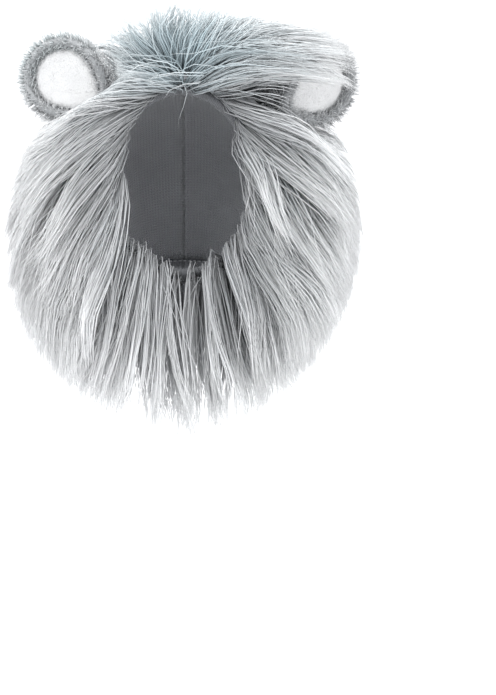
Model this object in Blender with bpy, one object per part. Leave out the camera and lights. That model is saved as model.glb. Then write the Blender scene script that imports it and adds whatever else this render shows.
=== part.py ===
"""A lion mane wig for a pet: a knitted hood, its two bound edges, a long fur mane and two ears.

Lengths are in metres. The origin is the crown seat, where the top of the head meets the
inside of the hood. The face opening looks along -Y, +X is the viewer's right in front of
it, and +Z is up.
"""

import math

import bmesh
import bpy
import numpy as np

# Hood sizes, all on the inside of the cloth
HOOD_WIDTH = 0.104
HOOD_HEIGHT = 0.118
FACE_WIDTH = 0.075
FACE_HEIGHT = 0.097
NECK_WIDTH = 0.084
NECK_DEPTH = 0.078

# Cloth, tape and clearance
CLOTH = 0.002
TAPE = 0.001
TAPE_LEG = 0.004
GAP = 0.0003

# Fur: its woven ground with the packed roots, and the free pile
GROUND = 0.003
CORE = 0.006
THROAT_CORE = 0.15
PILE = 0.085
LOCK_WIDTH = 0.025
LOCK_THICK = 0.010
LOCK_ROOT = 0.004

# Ears
EAR_WIDTH = 0.044
EAR_HEIGHT = 0.045
EAR_FOOT = 0.010
EAR_DEPTH = 0.015
LINING = 0.002

# Mesh fineness
AROUND = 24
ALONG = 11
EAR_SIDES = 18
LOCK_SIDES = 4
LOCK_RINGS = 5
CREASE = math.radians(50)

# One row for each section of the hood, from the face rim over the skull to the neck rim.
# Low is the section's throat point behind and under the face rim's lowest point, as shares
# of HOOD_HEIGHT. Width and height are shares of the sizes that "of" names.
SECTION_SIZES = {
    "face": (FACE_WIDTH, FACE_HEIGHT),
    "skull": (HOOD_WIDTH, HOOD_HEIGHT),
    "neck": (NECK_WIDTH, NECK_DEPTH),
}
HOOD_SECTIONS = (
    # share, tilt in degrees, low_back, low_down, of, width, height
    (0.00, 0.0, 0.000, 0.000, "face", 1.00, 1.00),
    (0.12, 8.0, 0.025, 0.030, "skull", 0.87, 0.90),
    (0.30, 24.0, 0.055, 0.080, "skull", 0.97, 1.00),
    (0.50, 38.0, 0.070, 0.115, "skull", 1.00, 1.01),
    (0.70, 51.0, 0.090, 0.145, "skull", 0.96, 0.89),
    (0.85, 62.0, 0.110, 0.170, "skull", 0.88, 0.79),
    (1.00, 72.0, 0.135, 0.195, "neck", 1.00, 1.00),
)

# Which way the pile grows and falls. A row for each place: share from face rim to neck rim,
# clock angle round the face in degrees with 0 at the forehead and 90 at the viewer's right,
# direction at the root, direction at the tip, and length as a share of PILE.
GROWTH = (
    # share, clock, root_x, root_y, root_z, tip_x, tip_y, tip_z, length
    (0.0, -180, 0.00, -0.84, -0.42, 0.00, 0.14, -1.00, 1.14),
    (0.0, -150, -0.10, -0.82, -0.46, -0.10, 0.14, -0.98, 1.10),
    (0.0, -120, -0.20, -0.80, -0.50, -0.24, 0.14, -0.96, 1.06),
    (0.0, -90, -0.26, -0.78, -0.50, -0.34, 0.14, -0.92, 1.04),
    (0.0, -62, -0.36, -0.72, -0.50, -0.42, 0.14, -0.90, 1.10),
    (0.0, -42, -0.60, -0.62, -0.42, -0.44, 0.14, -0.89, 1.20),
    (0.0, -28, -0.86, -0.46, -0.10, -0.44, 0.12, -0.88, 1.22),
    (0.0, -18, -0.62, -0.38, 0.66, -0.50, 0.35, 0.10, 0.62),
    (0.0, -8, -0.28, -0.34, 0.90, -0.30, 0.30, 0.80, 0.54),
    (0.0, 4, 0.02, -0.34, 0.94, 0.14, 0.32, 0.86, 0.54),
    (0.0, 11, 0.40, -0.34, 0.84, 0.88, 0.24, 0.10, 0.86),
    (0.0, 18, 0.60, -0.34, 0.70, 0.78, 0.24, -0.56, 1.36),
    (0.0, 29, 0.78, -0.38, 0.42, 0.64, 0.20, -0.74, 1.24),
    (0.0, 44, 0.62, -0.60, -0.30, 0.46, 0.14, -0.88, 1.08),
    (0.0, 62, 0.38, -0.72, -0.48, 0.42, 0.14, -0.90, 1.08),
    (0.0, 90, 0.26, -0.78, -0.50, 0.34, 0.14, -0.92, 1.02),
    (0.0, 120, 0.20, -0.80, -0.50, 0.22, 0.14, -0.96, 1.04),
    (0.0, 150, 0.10, -0.82, -0.46, 0.10, 0.14, -0.98, 1.10),
    (0.12, -180, 0.00, -0.50, -0.87, 0.00, 0.05, -1.00, 1.10),
    (0.12, -150, -0.34, -0.46, -0.80, -0.14, 0.05, -0.98, 1.02),
    (0.12, -120, -0.68, -0.36, -0.58, -0.26, 0.06, -0.95, 0.96),
    (0.12, -90, -0.84, -0.30, -0.32, -0.36, 0.08, -0.92, 0.90),
    (0.12, -62, -0.88, -0.28, -0.16, -0.40, 0.10, -0.90, 0.92),
    (0.12, -44, -0.88, -0.26, -0.02, -0.46, 0.12, -0.86, 0.86),
    (0.12, -30, -0.55, -0.20, 0.66, -0.55, 0.50, 0.10, 0.42),
    (0.12, -14, -0.34, -0.14, 0.90, -0.36, 0.40, 0.72, 0.52),
    (0.12, 2, 0.00, -0.12, 0.96, 0.08, 0.45, 0.82, 0.52),
    (0.12, 16, 0.42, -0.14, 0.88, 0.84, 0.34, 0.00, 0.84),
    (0.12, 28, 0.64, -0.20, 0.70, 0.80, 0.26, -0.48, 1.16),
    (0.12, 44, 0.84, -0.28, 0.28, 0.56, 0.16, -0.78, 1.00),
    (0.12, 62, 0.88, -0.28, -0.12, 0.40, 0.10, -0.90, 0.94),
    (0.12, 90, 0.84, -0.30, -0.30, 0.34, 0.08, -0.93, 0.88),
    (0.12, 120, 0.68, -0.36, -0.58, 0.24, 0.06, -0.95, 0.94),
    (0.12, 150, 0.34, -0.46, -0.80, 0.12, 0.05, -0.98, 1.02),
    (0.3, -180, 0.00, -0.40, -0.92, 0.00, 0.10, -1.00, 0.98),
    (0.3, -150, -0.40, -0.25, -0.88, -0.16, 0.05, -0.98, 0.94),
    (0.3, -120, -0.80, -0.10, -0.56, -0.32, 0.06, -0.94, 0.84),
    (0.3, -90, -0.92, -0.05, -0.10, -0.36, 0.08, -0.92, 0.72),
    (0.3, -62, -0.85, 0.10, 0.14, -0.44, 0.16, -0.86, 0.64),
    (0.3, -35, -0.40, 0.35, 0.84, -0.45, 0.70, 0.35, 0.44),
    (0.3, 0, 0.00, 0.40, 0.90, 0.00, 0.90, 0.30, 0.46),
    (0.3, 35, 0.40, 0.35, 0.84, 0.60, 0.65, 0.20, 0.52),
    (0.3, 62, 0.85, 0.08, 0.20, 0.48, 0.16, -0.84, 0.66),
    (0.3, 90, 0.92, -0.05, -0.08, 0.34, 0.08, -0.93, 0.70),
    (0.3, 120, 0.80, -0.10, -0.56, 0.30, 0.06, -0.94, 0.82),
    (0.3, 150, 0.40, -0.25, -0.88, 0.16, 0.05, -0.98, 0.94),
    (0.65, -180, 0.00, -0.40, -0.92, 0.00, 0.00, -1.00, 0.78),
    (0.65, -120, -0.82, 0.00, -0.56, -0.24, 0.02, -0.97, 0.76),
    (0.65, -90, -0.88, 0.15, -0.20, -0.26, 0.05, -0.95, 0.70),
    (0.65, -60, -0.66, 0.40, 0.05, -0.24, 0.10, -0.96, 0.64),
    (0.65, -30, -0.32, 0.58, 0.12, -0.14, 0.12, -0.98, 0.62),
    (0.65, 0, 0.00, 0.62, 0.14, 0.00, 0.12, -0.99, 0.62),
    (0.65, 30, 0.32, 0.58, 0.12, 0.14, 0.12, -0.98, 0.62),
    (0.65, 60, 0.66, 0.40, 0.05, 0.24, 0.10, -0.96, 0.64),
    (0.65, 90, 0.88, 0.15, -0.20, 0.26, 0.05, -0.95, 0.70),
    (0.65, 120, 0.82, 0.00, -0.56, 0.24, 0.02, -0.97, 0.76),
    (1.0, -180, 0.00, -0.35, -0.93, 0.00, 0.00, -1.00, 0.70),
    (1.0, -135, -0.64, -0.20, -0.70, -0.12, 0.02, -0.98, 0.72),
    (1.0, -90, -0.74, 0.20, -0.58, -0.14, 0.04, -0.98, 0.72),
    (1.0, -45, -0.44, 0.56, -0.66, -0.08, 0.06, -0.99, 0.76),
    (1.0, 0, 0.00, 0.66, -0.72, 0.00, 0.06, -0.99, 0.78),
    (1.0, 45, 0.44, 0.56, -0.66, 0.08, 0.06, -0.99, 0.76),
    (1.0, 90, 0.74, 0.20, -0.58, 0.14, 0.04, -0.98, 0.72),
    (1.0, 135, 0.64, -0.20, -0.70, 0.12, 0.02, -0.98, 0.72),
)

# A row for each tier of locks: share of the way from face rim to neck rim, number of locks,
# clock angles of the first and last, and length and width against the usual ones.
LOCK_TIERS = (
    # share, locks, first, last, length, width
    (0.045, 18, -180, 160, 1.00, 1.00),
    (0.160, 15, -150, 150, 1.00, 1.15),
    (0.300, 12, -128, 128, 1.00, 1.30),
    (0.460, 14, -180, 154, 1.00, 1.25),
    (0.620, 10, -117, 117, 1.00, 1.35),
    (0.790, 13, -156, 156, 1.00, 1.25),
    (0.950, 10, -108, 108, 1.00, 1.15),
)

# A lock's width and thickness along its length, as shares of the full ones
LOCK_TAPER = (
    # share of length, width, thickness
    (0.00, 0.78, 0.80),
    (0.25, 1.00, 1.00),
    (0.50, 0.95, 0.90),
    (0.75, 0.68, 0.62),
    (0.92, 0.32, 0.34),
    (1.00, 0.00, 0.00),
)

# An ear's section from the middle of its back over the rim to the middle of its hollow
EAR_SECTION = (
    # radius as a share of the outline, depth as a share of EAR_DEPTH
    (0.00, -1.00),
    (0.40, -0.92),
    (0.74, -0.66),
    (0.94, -0.26),
    (1.00, 0.10),
    (0.96, 0.34),
    (0.88, 0.40),
    (0.80, 0.22),
    (0.72, -0.06),
    (0.40, -0.16),
    (0.00, -0.20),
)
LINING_SECTION = (
    # radius as a share of the outline, depth above the hollow as a share of EAR_DEPTH
    (0.00, -0.20),
    (0.40, -0.16),
    (0.68, -0.08),
    (0.73, 0.02),
    (0.68, 0.07),
    (0.40, 0.05),
    (0.00, 0.03),
)

# The ways that a head and a neck come in by, and how wide they are against the rims
WAY_OUT = {"face": (0.0, -1.0, 0.0), "neck": (0.0, 0.31, -0.95)}
WAY_SHARE = 0.94

# Each ear: its middle, the way it faces and the way it points, from the crown seat in
# shares of HOOD_WIDTH for the middle
EARS = {
    "left": {
        "middle": (-0.630, 0.10, 0.035),
        "faces": (-0.22, -0.97, 0.08),
        "points": (-0.80, 0.12, 0.60),
    },
    "right": {
        "middle": (0.725, 0.15, 0.005),
        "faces": (0.62, -0.74, -0.22),
        "points": (0.78, 0.45, 0.44),
    },
}

COLOURS = {
    "hood_backing": (0.42, 0.43, 0.45, 1.0),
    "face_binding": (0.30, 0.31, 0.33, 1.0),
    "neck_binding": (0.30, 0.31, 0.33, 1.0),
    "mane_fur": (0.62, 0.65, 0.68, 1.0),
    "left_ear_shell": (0.34, 0.36, 0.38, 1.0),
    "left_ear_lining": (0.86, 0.86, 0.87, 1.0),
    "right_ear_shell": (0.34, 0.36, 0.38, 1.0),
    "right_ear_lining": (0.86, 0.86, 0.87, 1.0),
}

RANDOM = np.random.default_rng(11)


def unit(vectors):
    """Vectors at length one, along the last axis."""
    vectors = np.asarray(vectors, float)
    return vectors / np.maximum(np.linalg.norm(vectors, axis=-1, keepdims=True), 1e-12)


def smooth_rows(places, rows, at):
    """Values between table rows on a smooth curve through them, row by row in each column."""
    places = np.asarray(places, float)
    rows = np.asarray(rows, float)
    slopes = np.gradient(rows, places, axis=0)
    at = np.clip(np.asarray(at, float), places[0], places[-1])
    left = np.clip(np.searchsorted(places, at, side="right") - 1, 0, len(places) - 2)
    span = (places[left + 1] - places[left])[..., None]
    t = (at - places[left])[..., None] / span
    return (
        (1 + 2 * t) * (1 - t) ** 2 * rows[left]
        + t * (1 - t) ** 2 * span * slopes[left]
        + t**2 * (3 - 2 * t) * rows[left + 1]
        - t**2 * (1 - t) * span * slopes[left + 1]
    )


def section_rows():
    """The hood's section table in metres and radians: tilt, low y, low z, width, height."""
    rows = []
    for _share, tilt, low_back, low_down, of, width, height in HOOD_SECTIONS:
        full_width, full_height = SECTION_SIZES[of]
        rows.append(
            (
                math.radians(tilt),
                low_back * HOOD_HEIGHT,
                -low_down * HOOD_HEIGHT,
                width * full_width,
                height * full_height,
            )
        )
    return rows


SECTION_PLACES = [row[0] for row in HOOD_SECTIONS]
SECTION_ROWS = section_rows()


def hood_raw(share, clock):
    """The inside of the hood, from the face rim's lowest point. The angle is in radians."""
    share, clock = np.broadcast_arrays(np.asarray(share, float), np.asarray(clock, float))
    tilt, low_y, low_z, width, height = np.moveaxis(
        smooth_rows(SECTION_PLACES, SECTION_ROWS, share), -1, 0
    )
    up = height / 2 * (1 + np.cos(clock))
    x = width / 2 * np.sin(clock)
    return np.stack([x, low_y + up * np.sin(tilt), low_z + up * np.cos(tilt)], -1)


def crown_point():
    """The highest point of the hood's inside, on its middle line."""
    line = hood_raw(np.linspace(0.0, 1.0, 2001), 0.0)
    return line[np.argmax(line[:, 2])]


CROWN = crown_point()


def hood_at(share, clock, lift=0.0):
    """A point of the hood, lifted off its inside along the normal, from the crown seat."""
    share, clock = np.broadcast_arrays(np.asarray(share, float), np.asarray(clock, float))
    step = 1e-4
    inner = np.clip(share, step, 1 - step)
    along = hood_raw(inner + step, clock) - hood_raw(inner - step, clock)
    around = hood_raw(inner, clock + step) - hood_raw(inner, clock - step)
    normal = unit(np.cross(around, along))
    return hood_raw(share, clock) - CROWN + normal * np.asarray(lift)[..., None], normal


def hood_speed(share, clock):
    """Metres of hood for each unit of share, along a line of one clock angle."""
    step = 1e-3
    low = np.clip(share, 0, 1 - step)
    return np.linalg.norm(hood_raw(low + step, clock) - hood_raw(low, clock), axis=-1) / step


def grid_faces(rows, columns, flip=False):
    """Quads between neighbouring rows of points on closed rings."""
    row = np.arange(rows - 1)[:, None] * columns
    column = np.arange(columns)[None, :]
    after = (column + 1) % columns
    quads = np.stack([row + column, row + after, row + columns + after, row + columns + column], -1)
    quads = quads.reshape(-1, 4)
    return quads[:, ::-1] if flip else quads


def make_object(name, points, faces):
    """A scene object from points and faces, with every face turned outward."""
    mesh = bpy.data.meshes.new(name)
    mesh.from_pydata([tuple(p) for p in points], [], [tuple(int(i) for i in f) for f in faces])
    work = bmesh.new()
    work.from_mesh(mesh)
    bmesh.ops.remove_doubles(work, verts=work.verts, dist=1e-6)
    bmesh.ops.recalc_face_normals(work, faces=work.faces)
    if work.calc_volume(signed=True) < 0:
        bmesh.ops.reverse_faces(work, faces=work.faces)
    work.to_mesh(mesh)
    work.free()
    made = bpy.data.objects.new(name, mesh)
    bpy.context.scene.collection.objects.link(made)
    return made


def ring_solid(name, rings, closed):
    """A solid from rings of points, closed on itself like a tyre or capped at both ends."""
    rings = np.asarray(rings, float)
    count, sides = rings.shape[:2]
    faces = [tuple(face) for face in grid_faces(count, sides)]
    if closed:
        last = (count - 1) * sides
        for side in range(sides):
            after = (side + 1) % sides
            faces.append((last + side, last + after, after, side))
    else:
        faces.append(tuple(range(sides))[::-1])
        faces.append(tuple((count - 1) * sides + side for side in range(sides)))
    return make_object(name, rings.reshape(-1, 3), faces)


def polar_solid(name, rings, first, last):
    """A solid from rings between two poles."""
    rings = np.asarray(rings, float)
    count, sides = rings.shape[:2]
    points = np.concatenate([rings.reshape(-1, 3), [first], [last]])
    faces = [tuple(face) for face in grid_faces(count, sides)]
    for side in range(sides):
        after = (side + 1) % sides
        faces.append((count * sides, after, side))
        faces.append((count * sides + 1, (count - 1) * sides + side, (count - 1) * sides + after))
    return make_object(name, points, faces)


def rim_share(length, clock, at_neck=False):
    """The share that lies this far along the hood from a rim."""
    place = np.full_like(clock, 1.0 if at_neck else 0.0)
    for _ in range(4):
        middle = (place + (1.0 if at_neck else 0.0)) / 2
        travelled = length / hood_speed(middle, clock)
        place = 1.0 - travelled if at_neck else travelled
    return place


def between_rims(clear, part, clock):
    """The share at a part of the way across the hood, from this far inside each rim."""
    begin, end = rim_share(clear, clock), rim_share(clear, clock, at_neck=True)
    return begin + (end - begin) * part


def make_hood():
    """The knitted hood: one wall from the face rim over the skull to the neck rim."""
    clock = np.linspace(0, 2 * math.pi, AROUND, endpoint=False)
    shares = [between_rims(TAPE_LEG, part, clock) for part in np.linspace(0, 1, ALONG)]
    shares = np.stack([np.zeros(AROUND), *shares, np.ones(AROUND)])
    inside, _ = hood_at(shares, clock, 0.0)
    outside, _ = hood_at(shares, clock, CLOTH)
    rings = np.concatenate([inside, outside[::-1]])
    return ring_solid("hood_backing", rings, closed=True)


def make_binding(name, at_neck):
    """A tape folded round one rim of the hood, as a channel with a small clearance."""
    clock = np.linspace(0, 2 * math.pi, AROUND, endpoint=False)
    rim = 1.0 if at_neck else 0.0
    edge, normal = hood_at(np.full(AROUND, rim), clock)
    step = hood_at(rim_share(0.001, clock, at_neck), clock)[0]
    beyond = unit(edge - step)
    leg = rim_share(TAPE_LEG, clock, at_neck)
    inner, outer = -GAP, CLOTH + GAP

    def past(length, lift):
        """Points past the rim, and lifted off the cloth's inside."""
        return edge + beyond * length + normal * lift

    rings = [
        hood_at(leg, clock, outer + TAPE)[0],
        past(0.0, outer + TAPE),
        past(GAP + TAPE, outer),
        past(GAP + TAPE, inner),
        past(0.0, inner - TAPE),
        hood_at(leg, clock, inner - TAPE)[0],
        hood_at(leg, clock, inner)[0],
        past(GAP, inner),
        past(GAP, outer),
        hood_at(leg, clock, outer)[0],
    ]
    return ring_solid(name, rings, closed=True)


def fur_depth(part, clock):
    """Depth of the ground with its packed roots: full over the skull, slight at the throat."""
    across = np.sin(math.pi * np.clip(part, 0, 1)) ** 0.7
    return GROUND + CORE * across * (THROAT_CORE + (1 - THROAT_CORE) * np.cos(clock / 2) ** 2)


def fur_surface(part, clock, lift=0.0):
    """A point on the outside of the fur's packed roots, at a part of the way across it."""
    share = between_rims(TAPE_LEG + 2 * GAP, part, clock)
    return hood_at(share, clock, CLOTH + GAP + fur_depth(part, clock) + lift)


def make_ground():
    """The fur's ground: a closed wall over the hood's cloth, thickest over the skull."""
    clock = np.linspace(0, 2 * math.pi, AROUND, endpoint=False)
    rings = []
    for part in np.linspace(0, 1, ALONG):
        rings.append(hood_at(between_rims(TAPE_LEG + 2 * GAP, part, clock), clock, CLOTH / 2)[0])
    for part in np.linspace(1, 0, ALONG):
        rings.append(fur_surface(np.full(AROUND, part), clock)[0])
    return ring_solid("mane_fur", rings, closed=True)


def hood_space():
    """What the fur leaves free: the hood, its bindings, and a way in at each rim."""
    clock = np.linspace(0, 2 * math.pi, AROUND, endpoint=False)
    cloth = CLOTH + 2 * GAP
    tape = cloth + TAPE + GAP
    clear = TAPE_LEG + GAP
    rings = []
    for part in np.linspace(0, 1, ALONG)[1:-1]:
        rings.append(hood_at(between_rims(clear, part, clock), clock, cloth)[0])
    for at_neck in (False, True):
        edge, normal = hood_at(np.full(AROUND, 1.0 if at_neck else 0.0), clock)
        step = hood_at(rim_share(0.001, clock, at_neck), clock)[0]
        front = edge + unit(edge - step) * (TAPE + 2 * GAP)
        leg = rim_share(clear, clock, at_neck)
        middle = front.mean(0)
        axis = WAY_OUT["neck" if at_neck else "face"]
        way = middle + (front - middle) * WAY_SHARE
        added = [
            hood_at(leg, clock, cloth)[0],
            hood_at(leg, clock, tape)[0],
            front + normal * tape,
            way,
            way + np.asarray(axis) * PILE,
        ]
        rings = rings + added if at_neck else added[::-1] + rings
    return ring_solid("hood_space", rings, closed=False)


def growth_at(share, clock_deg):
    """Root direction, tip direction and length of the pile, from the growth table."""
    table = np.asarray(GROWTH, float)
    tiers = sorted(set(table[:, 0]))
    values = []
    for tier in tiers:
        rows = table[table[:, 0] == tier]
        values.append(
            np.stack(
                [np.interp(clock_deg, rows[:, 1], column, period=360) for column in rows[:, 2:].T], -1
            )
        )
    values = np.asarray(values)
    place = np.interp(share, tiers, range(len(tiers)))
    low = np.minimum(place.astype(int), len(tiers) - 2)
    part = (place - low)[:, None]
    each = np.arange(len(clock_deg))
    mixed = values[low, each] * (1 - part) + values[low + 1, each] * part
    return unit(mixed[:, 0:3]), unit(mixed[:, 3:6]), mixed[:, 6] * PILE


def pile_paths(share, clock_deg, length_share, steps):
    """Centre lines of the pile from inside its ground to the tips, and how its rows run."""
    clock = np.radians(clock_deg)
    root, _ = fur_surface(share, clock, -LOCK_ROOT)
    start, end, length = growth_at(share, clock_deg)
    length = length * length_share
    turn = (np.linspace(0, 1, steps) ** 0.85)[None, :, None]
    along = unit(start[:, None] * (1 - turn) + end[:, None] * turn)
    middle = (along[:, 1:] + along[:, :-1]) / 2
    moves = middle * (length / (steps - 1))[:, None, None]
    path = np.concatenate([np.zeros((len(root), 1, 3)), np.cumsum(moves, axis=1)], axis=1)
    edge = 0.01
    row = unit(hood_at(share, clock + edge)[0] - hood_at(share, clock - edge)[0])
    return root[:, None] + path, along, row


def lock_object(index, path, along, row, width, thick):
    """One pointed lock round its centre line, as wide as its place in the row."""
    taper = np.asarray(LOCK_TAPER)
    shares = np.linspace(0, 1, len(path))
    wide = np.interp(shares, taper[:, 0], taper[:, 1]) * width / 2
    deep = np.interp(shares, taper[:, 0], taper[:, 2]) * thick / 2
    chord = unit(path[-1] - path[0])
    level = row - chord * (row @ chord)
    across = unit(level - along * (along @ level)[:, None])
    out = np.cross(across, along)
    angle = np.linspace(0, 2 * math.pi, LOCK_SIDES, endpoint=False) + math.pi / 2
    rings = (
        path[:-1, None]
        + across[:-1, None] * (np.cos(angle)[None, :, None] * wide[:-1, None, None])
        + out[:-1, None] * (np.sin(angle)[None, :, None] * deep[:-1, None, None])
    )
    return polar_solid(f"lock_{index}", rings, path[0], path[-1])


def make_locks():
    """All locks of the mane, tier by tier."""
    locks = []
    for share, count, first, last, length, width in LOCK_TIERS:
        clock = np.linspace(first, last, count)
        longer = length * RANDOM.uniform(0.92, 1.06, count)
        wider = width * RANDOM.uniform(0.9, 1.1, count)
        path, along, row = pile_paths(np.full(count, share), clock, longer, LOCK_RINGS + 1)
        for i in range(count):
            locks.append(
                lock_object(
                    len(locks), path[i], along[i], row[i], LOCK_WIDTH * wider[i], LOCK_THICK
                )
            )
    return locks


def boolean(target, operation, tools, solver="EXACT"):
    """Joins the tools to the target, or cuts them from it, and removes them."""
    group = bpy.data.collections.new("tools")
    bpy.context.scene.collection.children.link(group)
    for tool in tools:
        bpy.context.scene.collection.objects.unlink(tool)
        group.objects.link(tool)
        tool.hide_render = True
        tool.display_type = "WIRE"
    modifier = target.modifiers.new("fuse", "BOOLEAN")
    modifier.operation = operation
    modifier.operand_type = "COLLECTION"
    modifier.collection = group
    modifier.solver = solver
    fused = bpy.data.meshes.new_from_object(
        target.evaluated_get(bpy.context.evaluated_depsgraph_get())
    )
    target.modifiers.clear()
    target.data = fused
    for tool in tools:
        bpy.data.objects.remove(tool)
    bpy.data.collections.remove(group)


def keep_largest(target):
    """Drops every loose crumb, so that one body is left."""
    work = bmesh.new()
    work.from_mesh(target.data)
    left = set(work.verts)
    bodies = []
    while left:
        todo = [left.pop()]
        body = list(todo)
        while todo:
            for edge in todo.pop().link_edges:
                for vert in edge.verts:
                    if vert in left:
                        left.remove(vert)
                        todo.append(vert)
                        body.append(vert)
        bodies.append(body)
    bodies.sort(key=len)
    for body in bodies[:-1]:
        bmesh.ops.delete(work, geom=body, context="VERTS")
    work.to_mesh(target.data)
    work.free()


class EarFrame:
    """An ear's own axes: across it, the way it points and the way it faces."""

    def __init__(self, side):
        place = EARS[side]
        self.middle = np.asarray(place["middle"]) * HOOD_WIDTH
        self.faces = unit(place["faces"])
        pointing = np.asarray(place["points"], float)
        self.points = unit(pointing - self.faces * (pointing @ self.faces))
        self.across = np.cross(self.points, self.faces)

    def rings(self, section, more=0.0):
        """Rings of points for the section's rows, and the two poles, grown by more."""
        angle = np.linspace(0, 2 * math.pi, EAR_SIDES, endpoint=False)
        foot = np.clip(-np.sin(angle), 0, 1) ** 2
        reach_across = EAR_WIDTH / 2 * np.cos(angle) * (1 - 0.22 * foot)
        reach_up = EAR_HEIGHT / 2 * np.sin(angle) - EAR_FOOT * foot
        size = np.hypot(reach_across, reach_up)
        made = []
        for radius, depth in section:
            grow = (size * radius + more * min(1.0, radius * 3)) / size
            side = more if depth > -0.1 and radius > 0.6 else -more
            made.append(
                self.middle
                + (reach_across * grow)[:, None] * self.across
                + (reach_up * grow)[:, None] * self.points
                + (depth * EAR_DEPTH + side) * self.faces
            )
        return np.asarray(made)

    def solid(self, name, section):
        """A solid turned from a section whose first and last rows are poles."""
        rings = self.rings(section)
        return polar_solid(name, rings[1:-1], rings[0].mean(0), rings[-1].mean(0))

    def cutter(self, name):
        """The space that the ear needs in the fur: its outside with the hollow filled."""
        outside = [row for row in EAR_SECTION[:7]]
        rings = self.rings(outside, 1.5 * GAP)
        return polar_solid(name, rings[1:], rings[0].mean(0), rings[-1].mean(0))


def lining_rows():
    """The lining's section, lifted off the hollow by the clearance."""
    lift = GAP / EAR_DEPTH
    grow = LINING / 0.002
    floor = dict(EAR_SECTION[-3:])
    rows = []
    for index, (radius, depth) in enumerate(LINING_SECTION):
        base = floor.get(radius, -0.08)
        if index < 3:
            rows.append((radius * 0.97, depth + lift))
        else:
            rows.append((radius * 0.97, base + lift + (depth - base) * grow))
    return rows


def clear_scene():
    """Removes whatever the scene holds at the start."""
    for held in list(bpy.data.objects):
        bpy.data.objects.remove(held)


def paint(target):
    """Shades an object smooth up to its creases, and gives it its own plain material."""
    target.data.shade_smooth()
    target.data.set_sharp_from_angle(angle=CREASE)
    material = bpy.data.materials.new(target.name)
    material.use_nodes = True
    shader = material.node_tree.nodes["Principled BSDF"]
    shader.inputs["Base Color"].default_value = COLOURS[target.name]
    shader.inputs["Roughness"].default_value = 0.85
    shader.inputs["Metallic"].default_value = 0.0
    target.data.materials.clear()
    target.data.materials.append(material)


def build():
    """Makes every piece of the wig."""
    clear_scene()
    made = [make_hood(), make_binding("face_binding", False), make_binding("neck_binding", True)]
    fur = make_ground()
    boolean(fur, "UNION", make_locks())
    frames = {side: EarFrame(side) for side in EARS}
    spaces = [frame.cutter(f"{side}_ear_space") for side, frame in frames.items()]
    # The exact solver leaves open edges where the spaces graze the locks
    boolean(fur, "DIFFERENCE", [hood_space(), *spaces], "MANIFOLD")
    keep_largest(fur)
    made.append(fur)
    for side, frame in frames.items():
        made.append(frame.solid(f"{side}_ear_shell", EAR_SECTION))
        made.append(frame.solid(f"{side}_ear_lining", lining_rows()))
    for target in made:
        paint(target)


build()
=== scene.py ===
"""Finished look of a lion mane wig for a pet: strands, plush, knit, tape and stitches on its frame.

Lengths are in metres. The origin is the crown seat, where the top of the head meets the
inside of the hood. The face opening looks along -Y, +X is the viewer's right, +Z is up.
"""

import logging  # noqa: E402
import math  # noqa: E402
from dataclasses import dataclass, field  # noqa: E402
from enum import Enum  # noqa: E402
from typing import Sequence  # noqa: E402

import bpy  # noqa: E402
import numpy as np  # noqa: E402
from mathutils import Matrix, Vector  # noqa: E402


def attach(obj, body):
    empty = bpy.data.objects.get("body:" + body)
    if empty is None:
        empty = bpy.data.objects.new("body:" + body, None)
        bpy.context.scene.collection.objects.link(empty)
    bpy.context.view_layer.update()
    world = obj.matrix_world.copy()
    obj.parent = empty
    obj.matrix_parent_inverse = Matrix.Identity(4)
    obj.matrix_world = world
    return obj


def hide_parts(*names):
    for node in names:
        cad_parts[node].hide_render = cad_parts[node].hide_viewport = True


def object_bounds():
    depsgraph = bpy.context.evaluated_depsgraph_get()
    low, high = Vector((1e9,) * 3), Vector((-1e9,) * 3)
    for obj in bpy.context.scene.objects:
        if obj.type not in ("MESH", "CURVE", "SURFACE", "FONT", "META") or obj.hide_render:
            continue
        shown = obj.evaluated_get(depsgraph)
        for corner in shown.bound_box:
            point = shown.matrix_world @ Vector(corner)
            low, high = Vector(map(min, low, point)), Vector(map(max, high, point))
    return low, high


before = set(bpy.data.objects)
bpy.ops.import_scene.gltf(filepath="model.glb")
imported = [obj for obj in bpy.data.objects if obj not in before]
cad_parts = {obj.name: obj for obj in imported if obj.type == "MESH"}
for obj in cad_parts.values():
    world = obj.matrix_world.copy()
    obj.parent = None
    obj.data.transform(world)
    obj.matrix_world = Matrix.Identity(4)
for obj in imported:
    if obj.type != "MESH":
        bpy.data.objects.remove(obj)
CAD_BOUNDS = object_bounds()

LOG = logging.getLogger("wig")

Array = np.ndarray
Colour = tuple[float, float, float]

STRAND_UV = "OFBake"
CLOTH_UV = "Cloth"
UV_HALF = 0.0035
NO_TRIS = np.zeros((0, 3), int)


class Side(Enum):
    """The viewer's side that an ear is on."""

    LEFT = "left"
    RIGHT = "right"


class Region(Enum):
    """Panels that the mane's strands are made in."""

    CROWN = "crown"
    LEFT = "left"
    RIGHT = "right"
    BIB = "bib"
    NAPE = "nape"


# ---------------------------------------------------------------- numbers in rows


def unit(vectors: Array) -> Array:
    """Vectors at length one.

    Args:
        vectors: any array whose last axis is a vector.

    Returns:
        The vectors divided by their lengths.
    """
    vectors = np.asarray(vectors, float)
    return vectors / np.maximum(np.linalg.norm(vectors, axis=-1, keepdims=True), 1e-12)


def smooth_step(low: float, high: float, value: Array) -> Array:
    """The S-curve 3 t^2 - 2 t^3, with t the value's way from low to high, held to 0..1.

    Args:
        low: where the curve leaves 0.
        high: where it reaches 1.
        value: the numbers to map.

    Returns:
        Numbers from 0 to 1.
    """
    t = np.clip((np.asarray(value, float) - low) / (high - low), 0, 1)
    return t * t * (3 - 2 * t)


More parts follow.
